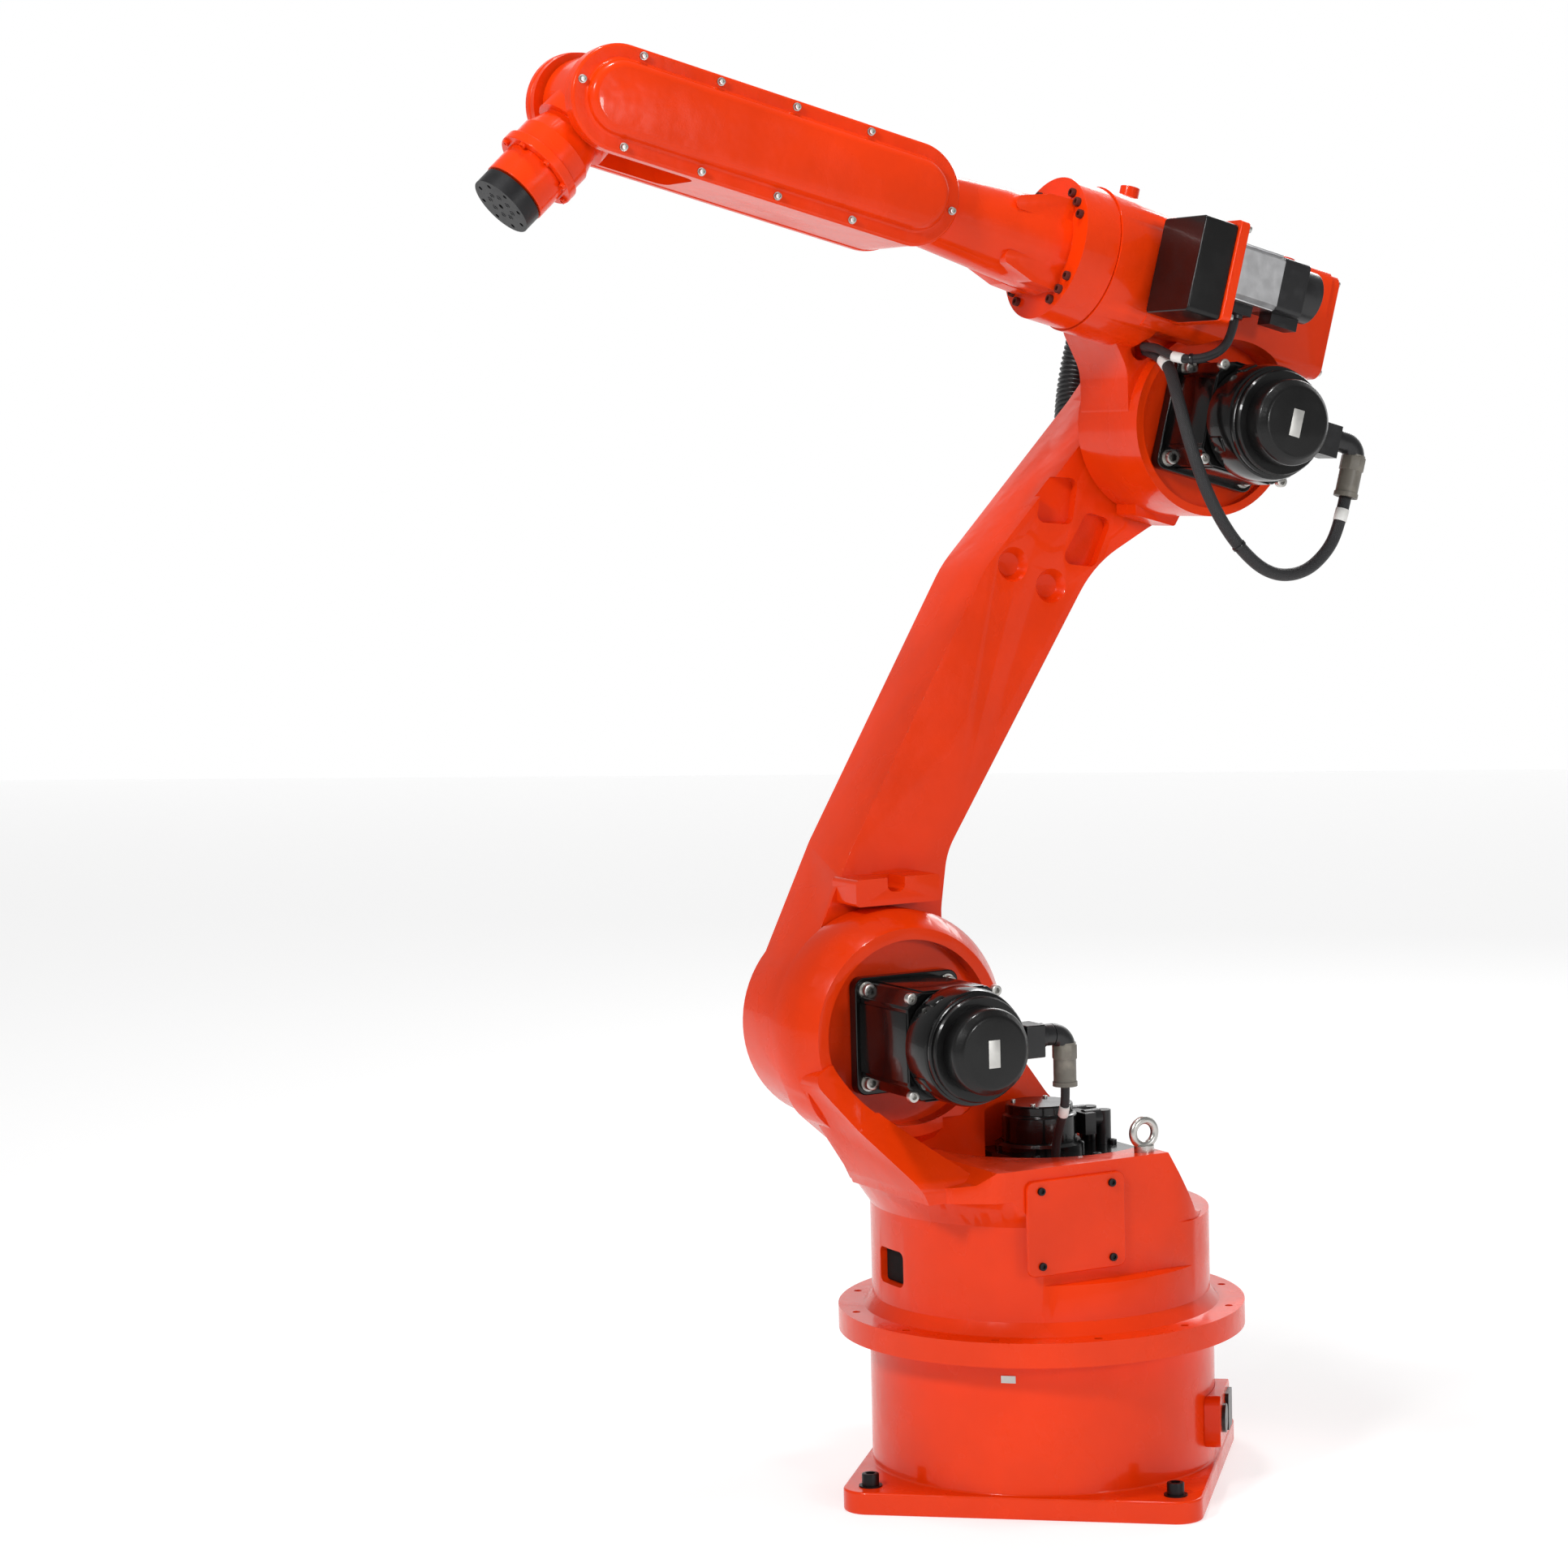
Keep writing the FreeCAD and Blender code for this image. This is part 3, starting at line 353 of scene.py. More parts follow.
def braided(name, colour, roughness):
    """Braided sleeve: two crossing sets of strands that follow the cable's own UV map."""
    s = Shader(name)
    uv = s.add("ShaderNodeUVMap", {"uv_map": "sleeve"})
    waves = []
    for lean in (1.0, -1.0):
        turn = s.add("ShaderNodeMapping", None,
                     {"Vector": uv, "Rotation": (0, 0, lean * math.radians(45))})
        waves.append(s.add("ShaderNodeTexWave", {"bands_direction": "X"},
                           {"Vector": turn, "Scale": 11.0, "Distortion": 0.0}, "Fac"))
    weave = waves[0] * waves[1]
    s.set(Base_Color=s.mix(weave, tuple(colour) + (1.0,), shade(colour, 3.5)),
          Roughness=weave * -0.12 + roughness, Normal=s.bump(weave, 0.5))
    return s.material


# ---------------------------------------------------------------- mesh helpers
def put(bm, name, place, body, material, facet=32, slot=None):
    """Turns a bmesh in millimetres into a finished piece that rides on a body."""
    bmesh.ops.transform(bm, matrix=place, verts=bm.verts)
    mesh = bpy.data.meshes.new(name)
    bm.to_mesh(mesh)
    bm.free()
    mesh.shade_smooth()
    mesh.set_sharp_from_angle(angle=math.radians(facet))
    mesh.materials.append(material)
    piece = bpy.data.objects.new(name, mesh)
    bpy.context.collection.objects.link(piece)
    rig.ride(piece, body)
    if slot:
        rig.slot(piece, slot)
    return piece


def drum(bm, radius, low, high, at=UP, sides=48, end_radius=None):
    """Cylinder or cone along local Z from low to high."""
    top = radius if end_radius is None else end_radius
    made = bmesh.ops.create_cone(bm, cap_ends=True, segments=sides, radius1=radius, radius2=top,
                                 depth=high - low, matrix=at @ moved(0, 0, (low + high) / 2))
    return made["verts"]


def block(bm, low, high, at=UP):
    size = [h - l for l, h in zip(low, high)]
    mid = [(h + l) / 2 for l, h in zip(low, high)]
    place = at @ moved(*mid) @ Matrix.Diagonal(size + [1])
    return bmesh.ops.create_cube(bm, size=1, matrix=place)["verts"]


def round_edges(bm, verts, width, steps=2, least=30):
    """Bevels the sharp edges among the given vertices."""
    chosen = set(verts)
    limit = math.radians(least)
    edges = [e for e in bm.edges if e.verts[0] in chosen and e.verts[1] in chosen
             and len(e.link_faces) == 2 and e.calc_face_angle() > limit]
    bmesh.ops.bevel(bm, geom=edges, offset=width, affect="EDGES", segments=steps,
                    profile=0.5, material=-1, clamp_overlap=True)


def lathe(bm, profile, at=UP, sides=48):
    """Turned shape from (radius, height) pairs round local Z."""
    verts = [bm.verts.new((r, 0, z)) for r, z in profile]
    edges = [bm.edges.new(pair) for pair in zip(verts, verts[1:])]
    before = set(bm.verts) - set(verts)
    bmesh.ops.spin(bm, geom=verts + edges, cent=(0, 0, 0), axis=(0, 0, 1), steps=sides,
                   angle=math.tau, use_merge=True)
    made = [v for v in bm.verts if v not in before]
    bmesh.ops.remove_doubles(bm, verts=made, dist=0.001)
    made = [v for v in bm.verts if v not in before]
    bmesh.ops.recalc_face_normals(bm, faces=list({f for v in made for f in v.link_faces}))
    bmesh.ops.transform(bm, matrix=at, verts=made)
    return made


WASHER_T, HEAD_SIDES = 1.6, 18


def head_top(bm):
    """The highest face of a screw head that is being made."""
    return max((f for f in bm.faces if len(f.verts) == HEAD_SIDES),
               key=lambda f: f.calc_center_median().z)


def screw_head(radius, height, key, washer=0.0):
    """Socket screw head on local z = 0, with a six-sided key hole and a washer if asked."""
    bm = bmesh.new()
    if washer:
        drum(bm, washer, 0, WASHER_T, sides=20)
    foot = WASHER_T if washer else 0.0
    drum(bm, radius, foot, foot + height, sides=HEAD_SIDES)
    rim = list(head_top(bm).edges)
    bmesh.ops.bevel(bm, geom=rim, offset=radius * 0.12, affect="EDGES", segments=2, profile=0.5,
                    material=-1)
    top = head_top(bm)
    bmesh.ops.inset_region(bm, faces=[top], thickness=radius * 0.3)
    for v in top.verts:
        around = math.degrees(math.atan2(v.co.y, v.co.x)) % 60 - 30
        reach = key / math.cos(math.radians(around))
        v.co.xy = v.co.xy.normalized() * reach
    hole = bmesh.ops.extrude_face_region(bm, geom=[top])["geom"]
    bmesh.ops.translate(bm, vec=(0, 0, -height * 0.55),
                        verts=[g for g in hole if isinstance(g, bmesh.types.BMVert)])
    bmesh.ops.delete(bm, geom=[top], context="FACES_ONLY")
    mesh = bpy.data.meshes.new("screw_pattern")
    bm.to_mesh(mesh)
    bm.free()
    return mesh


def stamp(name, pattern, places, place, body, material, slot=None):
    """One piece that holds a copy of a pattern mesh at each place."""
    bm = bmesh.new()
    for spot in places:
        before = len(bm.verts)
        bm.from_mesh(pattern)
        bm.verts.ensure_lookup_table()
        bmesh.ops.transform(bm, matrix=spot, verts=bm.verts[before:])
    return put(bm, name, place, body, material, slot=slot)


def ring(count, radius, start=0.0):
    for i in range(count):
        turn = math.radians(start + 360.0 * i / count)
        yield radius * math.cos(turn), radius * math.sin(turn)


def cut_off(bm, place, level):
    """Takes away what lies past a level along the Y axis of a placement, and closes the cut."""
    turn = place.to_3x3().normalized()
    bmesh.ops.bisect_plane(bm, geom=bm.verts[:] + bm.edges[:] + bm.faces[:], dist=1e-6,
                           plane_co=place @ Vector((0, level, 0)), plane_no=turn.col[1],
                           clear_outer=True)
    bmesh.ops.holes_fill(bm, edges=[e for e in bm.edges if e.is_boundary], sides=0)


def round_outline(bm, place, width, deep):
    """Large radius on the outline of a flat-sided casting whose edge walls are at least deep."""
    side = place.to_3x3().normalized().col[1]
    chosen = []
    for edge in bm.edges:
        if len(edge.link_faces) != 2 or edge.calc_face_angle() < math.radians(60):
            continue
        for flat, wall in (edge.link_faces, reversed(edge.link_faces)):
            spread = [v.co.dot(side) for v in wall.verts]
            if abs(flat.normal.dot(side)) > 0.99 and max(spread) - min(spread) > deep * MM:
                chosen.append(edge)
                break
    bmesh.ops.bevel(bm, geom=chosen, offset=width * MM, affect="EDGES", segments=4, profile=0.5,
                    material=-1, clamp_overlap=True)


def dome_edge(bm, place, outward, width):
    """Large radius round the outermost flat face of a cover."""
    side = place.to_3x3().normalized().col[1] * outward
    flats = [f for f in bm.faces if f.normal.dot(side) > 0.99]
    top = max(f.calc_center_median().dot(side) for f in flats)
    flats = {f for f in flats if f.calc_center_median().dot(side) > top - 0.5 * MM}
    rim = {e for f in flats for e in f.edges if sum(g in flats for g in e.link_faces) == 1}
    bmesh.ops.bevel(bm, geom=list(rim), offset=width * MM, affect="EDGES", segments=5,
                    profile=0.5, material=-1, clamp_overlap=False)


def soften(node, body, material, width, slot, facet=40, shape=None):
    """Rounded-edge copy of a CAD casting, which it stands for."""
    source = frame["nodes"][node]
    bm = bmesh.new()
    bm.from_mesh(source.data)
    bmesh.ops.remove_doubles(bm, verts=bm.verts, dist=2e-5)
    bmesh.ops.dissolve_limit(bm, angle_limit=math.radians(0.6), verts=bm.verts, edges=bm.edges,
                             use_dissolve_boundaries=False)
    if shape:
        shape(bm)
    piece = put(bm, node + "_cast", UP, body, material, facet, slot)
    bevel = piece.modifiers.new("edge_radius", "BEVEL")
    bevel.width, bevel.segments = width * MM, 3
    bevel.limit_method, bevel.angle_limit = "ANGLE", math.radians(34)
    bevel.use_clamp_overlap, bevel.harden_normals = True, False
    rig.replaces(piece, node)
    return piece


# ---------------------------------------------------------------- settings
def colour_setting(name, text, value):
    return FloatVectorProperty(name=name, description=text, subtype="COLOR", size=3,
                               min=0.0, max=1.0, default=value)


def length_setting(name, text, value, low, high):
    return FloatProperty(name=name, description=text, default=value, min=low, max=high,
                         subtype="DISTANCE", unit="LENGTH")


class FinishSettings(bpy.types.PropertyGroup):
    body_paint: colour_setting("Body paint", "Gloss paint of the castings", (0.79, 0.040, 0.0015))
    motor_paint: colour_setting("Motor paint", "Gloss paint of the large motors",
                                (0.003, 0.003, 0.003))
    tool_black: colour_setting("Tool black", "Blackened steel of the tool flange",
                               (0.012, 0.012, 0.013))
    alloy: colour_setting("Alloy", "Brushed alloy of the roll motor", (0.68, 0.68, 0.69))
    zinc: colour_setting("Zinc", "Plated screws and eyes", (0.62, 0.61, 0.58))
    plug_grey: colour_setting("Plug grey", "Dull metal of the round plugs", (0.16, 0.145, 0.12))
    body_gloss: FloatProperty(name="Body roughness", description="Roughness of the body paint",
                              default=0.2, min=0.05, max=0.6, subtype="FACTOR")
    cast_grain: FloatProperty(name="Cast grain", description="Strength of the sand grain",
                              default=0.5, min=0.0, max=2.0, subtype="FACTOR")
    edge_radius: FloatProperty(name="Edge radius", description="Rounding of cast edges, in mm",
                               default=3.0, min=0.5, max=6.0)


class HoseSettings(bpy.types.PropertyGroup):
    hose_radius: length_setting("Hose radius", "Outer radius of the ribbed hose",
                                0.022, 0.01, 0.03)
    rib_pitch: length_setting("Rib pitch", "Distance from rib to rib", 0.0062, 0.003, 0.015)
    rib_depth: length_setting("Rib depth", "Depth of the groove between ribs",
                              0.0024, 0.0, 0.005)
    cable_radius: length_setting("Cable radius", "Radius of the large motor cable",
                                 0.007, 0.003, 0.01)
    thin_radius: length_setting("Thin cable radius", "Radius of the small cables",
                                0.005, 0.002, 0.008)


class StageSettings(bpy.types.PropertyGroup):
    floor_size: length_setting("Floor size", "Width of the pale floor", 40.0, 5.0, 100.0)
    key_power: FloatProperty(name="Key light", description="Power of the main soft light",
                             default=98.0, min=0.0, max=3000.0, subtype="POWER", unit="POWER")
    sky: FloatProperty(name="Sky", description="Strength of the even light all round",
                       default=0.32, min=0.0, max=3.0)
    curtain: FloatProperty(name="Curtain", description="Brightness of the white wall behind",
                           default=1.0, min=0.0, max=4.0)


paints = {}


def mix_paints():
    """Makes every material once, from the settings."""
    look = bpy.context.scene.arm_finish
    paints.update(
        body=cast_paint("orange_cast_paint", look.body_paint, look.body_gloss, look.cast_grain),
        motor=smooth_paint("black_motor_paint", look.motor_paint, 0.14, 0.36),
        box=smooth_paint("black_box_paint", look.motor_paint, 0.3, 0.25),
        satin=smooth_paint("satin_black", look.tool_black, 0.34, 0.0),
        alloy=bare_metal("brushed_alloy", look.alloy, 0.24, (1, 0.05, 0.05)),
        zinc=bare_metal("zinc_plate", look.zinc, 0.2, (1, 1, 1)),
        steel=bare_metal("turned_steel", (0.3, 0.29, 0.28), 0.28, (1, 1, 0.1)),
        oxide=bare_metal("black_oxide_screw", (0.035, 0.035, 0.037), 0.3, (1, 1, 1)),
        plug=moulded("dull_plug", look.plug_grey, 0.42, 1.4),
        plastic=moulded("black_nylon", (0.009, 0.009, 0.01), 0.3),
        rubber=moulded("hose_rubber", (0.01, 0.01, 0.011), 0.32, 0.7),
        sleeve=braided("braided_sleeve", (0.012, 0.012, 0.013), 0.55),
        label=moulded("white_sleeve", (0.75, 0.74, 0.71), 0.5),
        mark=bare_metal("silver_mark", (0.7, 0.69, 0.66), 0.35, (1, 1, 1)),
        # near-black material for the painted shade inside the turret's window
        hollow=smooth_paint("black_hollow", (0.004, 0.002, 0.002), 0.8, 0.0),
        # dark red-brown material, a shaded copy of the orange paint: painted shade for the recessed screw pockets
        pit=smooth_paint("dark_hollow", (0.08, 0.012, 0.008), 0.6, 0.0))


def repaint(node, key):
    mesh = frame["nodes"][node].data
    mesh.materials.clear()
    mesh.materials.append(paints[key])


# ---------------------------------------------------------------- hose and cables
# Each route repeats the frame's own points, in metres, in the frame it is fixed to.
HOSE_LOOP = ((0.014, -0.1123, 0.158), (0.014, -0.160, 0.158), (0.010, -0.210, 0.148),
             (0.004, -0.246, 0.118), (-0.004, -0.262, 0.074), (-0.006, -0.258, 0.026),
             (-0.004, -0.238, -0.020), (0.0034, -0.212, -0.0611), (0.0205, -0.194, -0.1012),
             (0.0348, -0.194, -0.1429))
HELD_HOSE = ((-0.002, -0.194, 0.612), (0.0025, -0.194, 0.553), (0.010, -0.194, 0.470),
             (0.018, -0.194, 0.390), (0.024, -0.194, 0.310), (0.028, -0.194, 0.225),
             (0.028, -0.194, 0.1303))
ELBOW_MOTOR_CABLE = ((0.0983, 0.042, 0.060), (0.0983, 0.086, 0.052), (0.098, 0.124, 0.006),
                     (0.082, 0.149, -0.050), (0.050, 0.160, -0.102), (0.008, 0.166, -0.141),
                     (-0.040, 0.168, -0.162), (-0.084, 0.168, -0.150), (-0.112, 0.166, -0.116),
                     (-0.120, 0.164, -0.082), (-0.120, 0.164, -0.054))
SHOULDER_MOTOR_CABLE = ((0.046, 0.134, 0.4657), (0.046, 0.134, 0.450), (0.044, 0.126, 0.433),
                        (0.038, 0.107, 0.413), (0.0345, 0.0945, 0.396), (0.034, 0.092, 0.378))
ROLL_MOTOR_CABLE = ((0.064, 0.152, 0.1007), (0.064, 0.152, 0.080), (0.072, 0.150, 0.062),
                    (0.088, 0.142, 0.050), (0.104, 0.126, 0.046), (0.111, 0.104, 0.051),
                    (0.1112, 0.080, 0.059), (0.1112, 0.056, 0.060))


def route_curve(name, points, place, steps):
    """Smooth NURBS line with the route's points as its control points."""
    curve = bpy.data.curves.new(name, "CURVE")
    curve.dimensions, curve.resolution_u = "3D", steps
    line = curve.splines.new("NURBS")
    line.points.add(len(points) - 1)
    rigid = place @ Matrix.Scale(1 / MM, 4)
    for point, spot in zip(line.points, points):
        point.co = (*(rigid @ Vector(spot)), 1.0)
    line.order_u, line.use_endpoint_u = 3, True
    obj = bpy.data.objects.new(name, curve)
    bpy.context.collection.objects.link(obj)
    return obj


def line_points(obj):
    """The points of a curve's own smooth line."""
    bpy.context.view_layer.update()
    mesh = bpy.data.meshes.new_from_object(obj)
    points = [v.co.copy() for v in mesh.vertices]
    bpy.data.meshes.remove(mesh)
    return points


def sleeve_mesh(name, guide, radius, sides):
    """Tube round a guide curve, made from the curve's bevel; cord_piece then gives it the sleeve UV map along it and
    round it.
    """
    guide.data.bevel_depth, guide.data.bevel_resolution = radius, sides // 4 - 2
    bpy.context.view_layer.update()
    mesh = bpy.data.meshes.new_from_object(guide)
    mesh.name = name
    guide.data.bevel_depth = 0.0
    return mesh


def run_lengths(points):
    total, out = 0.0, [0.0]
    for a, b in zip(points, points[1:]):
        total += (b - a).length
        out.append(total)
    return out


def cord_piece(name, points, place, radius, material, steps, shape=None):
    """Cable or hose as a mesh tube on its NURBS line; shape gives the radius factor along it."""
    guide = route_curve(name + "_route", points, place, steps)
    path = line_points(guide)
    lengths = run_lengths(path)
    mesh = sleeve_mesh(name, guide, radius, 32)
    per_ring = len(mesh.vertices) // len(path)
    along = [lengths[i // per_ring] for i in range(len(mesh.vertices))]
    if shape:
        for v in mesh.vertices:
            centre = path[v.index // per_ring]
            v.co = centre + (v.co - centre) * shape(along[v.index])
    bm = bmesh.new()
    bm.from_mesh(mesh)
    bmesh.ops.holes_fill(bm, edges=[e for e in bm.edges if e.is_boundary], sides=0)
    layer = bm.loops.layers.uv.new("sleeve")
    for face in bm.faces:
        for loop in face.loops:
            index = loop.vert.index
            loop[layer].uv = (along[index] * 12, (index % per_ring) / per_ring)
    bm.to_mesh(mesh)
    bm.free()
    mesh.shade_smooth()
    mesh.materials.clear()
    mesh.materials.append(material)
    piece = bpy.data.objects.new(name, mesh)
    bpy.context.collection.objects.link(piece)
    bpy.data.objects.remove(guide)
    return piece, path, lengths[-1]


def ribs(pitch, depth, radius):
    """Radius factor of a ribbed hose: round ribs with narrow grooves."""
    def factor(along):
        wave = 0.5 - 0.5 * math.cos(math.tau * along / pitch)
        return 1.0 - depth / radius * (1.0 - wave ** 0.6)
    return factor


def collar(name, path, lengths_at, radius, height, body, material, taper=1.0):
    """Short sleeve on a cord, centred at a fraction of its line."""
    index = round(lengths_at * (len(path) - 1))
    index = min(max(index, 1), len(path) - 2)
    axis = (path[index + 1] - path[index - 1]).normalized()
    turn = Vector((0, 0, 1)).rotation_difference(axis).to_matrix().to_4x4()
    place = Matrix.Translation(path[index]) @ turn @ SCALE
    bm = bmesh.new()
    verts = drum(bm, radius, -height / 2, height / 2, sides=32, end_radius=radius * taper)
    round_edges(bm, verts, 0.6)
    return put(bm, name, place, body, material)


class ARM_OT_hoses(bpy.types.Operator):
    """Ribbed hose from the elbow to the foot of the lower arm"""
    bl_idname = "arm.hoses"
    bl_label = "Ribbed hose"

    def execute(self, context):
        s = context.scene.arm_hoses
        shape = ribs(s.rib_pitch, s.rib_depth, s.hose_radius)
        for name, points, place, body, steps in (
                ("free_hose", HOSE_LOOP, ELBOW, "elbow", 56),
                ("lower_hose", HELD_HOSE, LOWER_ARM, "lower_arm", 56)):
            piece, path, length = cord_piece(name, points, place, s.hose_radius,
                                             paints["rubber"], steps, shape)
            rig.replaces(piece, "hose_loop" if body == "elbow" else "held_hose")
            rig.slot(piece, "rubber")
            if body == "elbow":
                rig.cord(piece, exit=path[0], length=length, diameter=2 * s.hose_radius,
                        far_end="object", stiffness="stiff", lay="loose", path=path)
                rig.blend(piece, "lower_arm", "elbow", start=path[-1], end=path[0])
                collar("hose_collar", path, 0.03, 24.5, 16, "elbow", paints["plastic"])
            else:
                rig.ride(piece, body)
                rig.cord(piece, exit=path[0], length=length, diameter=2 * s.hose_radius,
                        far_end="object", stiffness="stiff", lay="loose", path=path)
        return {"FINISHED"}


class ARM_OT_cables(bpy.types.Operator):
    """Braided motor cables with their white marker sleeves and ties"""
    bl_idname = "arm.cables"
    bl_label = "Motor cables"

    def execute(self, context):
        s = context.scene.arm_hoses
        for name, points, place, body, radius, slot, sleeves in (
                ("elbow_motor_lead", ELBOW_MOTOR_CABLE, ELBOW, "elbow", s.cable_radius,
                 "elbow_motor_cable", (0.07, 0.955)),
                ("shoulder_motor_lead", SHOULDER_MOTOR_CABLE, TURRET, "turret", s.thin_radius,
                 "shoulder_motor_cable", (0.3,)),
                ("roll_motor_lead", ROLL_MOTOR_CABLE, ELBOW, "elbow", s.thin_radius,
                 "roll_motor_cable", (0.62,))):
            piece, path, length = cord_piece(name, points, place, radius, paints["sleeve"], 16)
            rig.ride(piece, body)
            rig.replaces(piece, slot)
            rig.slot(piece, "rubber")
            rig.cord(piece, exit=path[0], length=length, diameter=2 * radius, far_end="object",
                    stiffness="medium", lay="hanging", path=path)
            for at in sleeves:
                collar(f"{name}_sleeve_{at}", path, at, radius / MM + 0.7, 14, body,
                       paints["label"])
            if body == "elbow":
                collar(name + "_tie", path, 0.5, radius / MM + 1.1, 4, body, paints["plastic"])
        return {"FINISHED"}


# ---------------------------------------------------------------- castings
CASTINGS = (("base_casting", "base"), ("base_connector_box", "base"), ("turret_casting", "turret"),
            ("turret_cover_left", "turret"), ("turret_cover_right", "turret"),
            ("lower_arm_casting", "lower_arm"), ("elbow_casting", "elbow"),
            ("elbow_rear_cover", "elbow"), ("roll_motor_plate", "elbow"),
            ("forearm_casting", "forearm"), ("forearm_cover_left", "forearm"),
            ("forearm_cover_right", "forearm"), ("wrist_housing", "wrist"),
            ("wrist_bolt_ring", "wrist"), ("wrist_neck", "wrist"))
THIN_CASTINGS = {"turret_cover_left": 0.35, "turret_cover_right": 0.35, "elbow_rear_cover": 0.4,
                 "roll_motor_plate": 0.35, "wrist_bolt_ring": 0.35, "wrist_neck": 0.25,
                 "base_connector_box": 0.6}
BLACK_PARTS = {"shoulder_motor_flange": ("turret", "motor", 1.2),
               "shoulder_motor_body": ("turret", "motor", 1.8),
               "elbow_motor_flange": ("elbow", "motor", 1.2),
               "elbow_motor_body": ("elbow", "motor", 1.8),
               "shoulder_motor_encoder": ("turret", "box", 2.2),
               "elbow_motor_encoder": ("elbow", "box", 2.2),
               "yaw_motor": ("turret", "motor", 2.0), "yaw_motor_plate": ("turret", "motor", 1.5),
               "roll_gear_cover": ("elbow", "box", 1.6),
               "roll_motor_encoder": ("elbow", "plastic", 3.0),
               "shoulder_motor_socket": ("turret", "plastic", 2.0),
               "elbow_motor_socket": ("elbow", "plastic", 2.0)}
PLAIN_PARTS = {"yaw_gearbox": "steel", "shoulder_gearbox": "steel", "elbow_gearbox": "steel",
               "roll_bearing_ring": "steel", "wrist_pivots": "steel", "base_sockets": "plastic",
               "lifting_eyes": "zinc", "upper_hose_clamp": "zinc", "lower_hose_clamp": "zinc",
               "hose_gland": "body", "yaw_motor_connector": "plastic",
               "roll_motor_plug": "plastic", "shoulder_cable_gland": "plastic",
               "shoulder_motor_plug": "plug", "elbow_motor_plug": "plug",
               "hose_bracket": "body", "roll_motor_body": "alloy", "tool_flange": "satin"}
BLACK_SLOTS = {"encoder": "black_satin", "socket": "black_plastic"}

# The two large motors lie along the Y axis of their joint: where each one seats, how long its
# body is, how far the rear housing reaches over the body, and where the connector bends down.
MOTORS = {"shoulder": ("turret", MOTOR_2), "elbow": ("elbow", ELBOW)}
MOTOR_SEAT = {"shoulder": -12.0, "elbow": 46.0}
MOTOR_BODY_LEN = {"shoulder": 106.0, "elbow": 78.0}
MOTOR_FLANGE_T = 14.0
MOTOR_CAP_AT = 44.0
REAR_OVER = 4.0
HUB_BEHIND, STUB_Z = 26.0, 4.0
BEND_X, BEND_R = 104.0, 16.0
FLANGE_BOLT, SEAM_BOLT = 51.25, 53.0


def motor_rear(tag):
    """Where a large motor's body ends and its rear housing starts."""
    return MOTOR_SEAT[tag] + MOTOR_FLANGE_T + MOTOR_BODY_LEN[tag]


def corners(x, z):
    """The four sign combinations of a half pitch."""
    return [(u * x, v * z) for u in (-1, 1) for v in (-1, 1)]


class ARM_OT_castings(bpy.types.Operator):
    """Painted castings with rounded edges"""
    bl_idname = "arm.castings"
    bl_label = "Castings"

    def execute(self, context):
        radius = context.scene.arm_finish.edge_radius
        dome, outline, deep = 9, 7, 60
        shapes = {"forearm_cover_left": lambda bm: dome_edge(bm, ELBOW, 1, dome),
                  "forearm_cover_right": lambda bm: dome_edge(bm, ELBOW, -1, dome),
                  "lower_arm_casting": lambda bm: round_outline(bm, LOWER_ARM, outline, deep)}
        for tag, (_, place) in MOTORS.items():
            shapes[tag + "_motor_socket"] = partial(cut_off, place=place @ turned("Z", 90),
                                                    level=BEND_X)
            shapes[tag + "_motor_body"] = partial(cut_off, place=place,
                                                  level=motor_rear(tag) - REAR_OVER)
        for node, body in CASTINGS:
            soften(node, body, paints["body"], radius * THIN_CASTINGS.get(node, 1.0), "orange",
                   shape=shapes.get(node))
        for node, (body, paint, width) in BLACK_PARTS.items():
            slot = next((kind for word, kind in BLACK_SLOTS.items() if word in node),
                        "black_paint")
            soften(node, body, paints[paint], width, slot, shape=shapes.get(node))
        for node, paint in PLAIN_PARTS.items():
            repaint(node, paint)
        return {"FINISHED"}


# ---------------------------------------------------------------- screws and fine parts
class ARM_OT_base_fittings(bpy.types.Operator):
    """Floor bolts, side cover screws, a blank index mark and a near-black block of painted shade in the turret's
    window
    """
    bl_idname = "arm.base_fittings"
    bl_label = "Base fittings"

    def execute(self, context):
        half, plate = 168.0, 25.0
        bolt = screw_head(9.5, 13, 5.2, washer=13)
        spots = [moved(x, y, plate) for x, y in corners(half, half)]
        stamp("floor_bolts", bolt, spots, BASE, "base", paints["oxide"])
        small = screw_head(4.4, 3.2, 2.2)
        side, middle_x, middle_z = 169.0, 56.0, 320.0
        for name, turn, y in (("left", PLUS_Y, side), ("right", MINUS_Y, -side)):
            spots = [moved(middle_x + u, y, middle_z + v) @ turn for u, v in corners(45.0, 41.0)]
            stamp("side_cover_screws_" + name, small, spots, TURRET, "turret", paints["oxide"])
        bm = bmesh.new()
        block(bm, (193.2, -8, 150), (194.3, 8, 158), turned("Z", 87.5))
        put(bm, "base_index_mark", BASE, "base", paints["mark"])
        # near-black block set inside the turret's window: painted shade standing in for the shade of the open window
        bm = bmesh.new()
        round_edges(bm, block(bm, (131, -33.5, 239.5), (180, 19.5, 278.5)), 3.0)
        put(bm, "turret_window_painted_shade", TURRET, "turret", paints["hollow"])
        return {"FINISHED"}


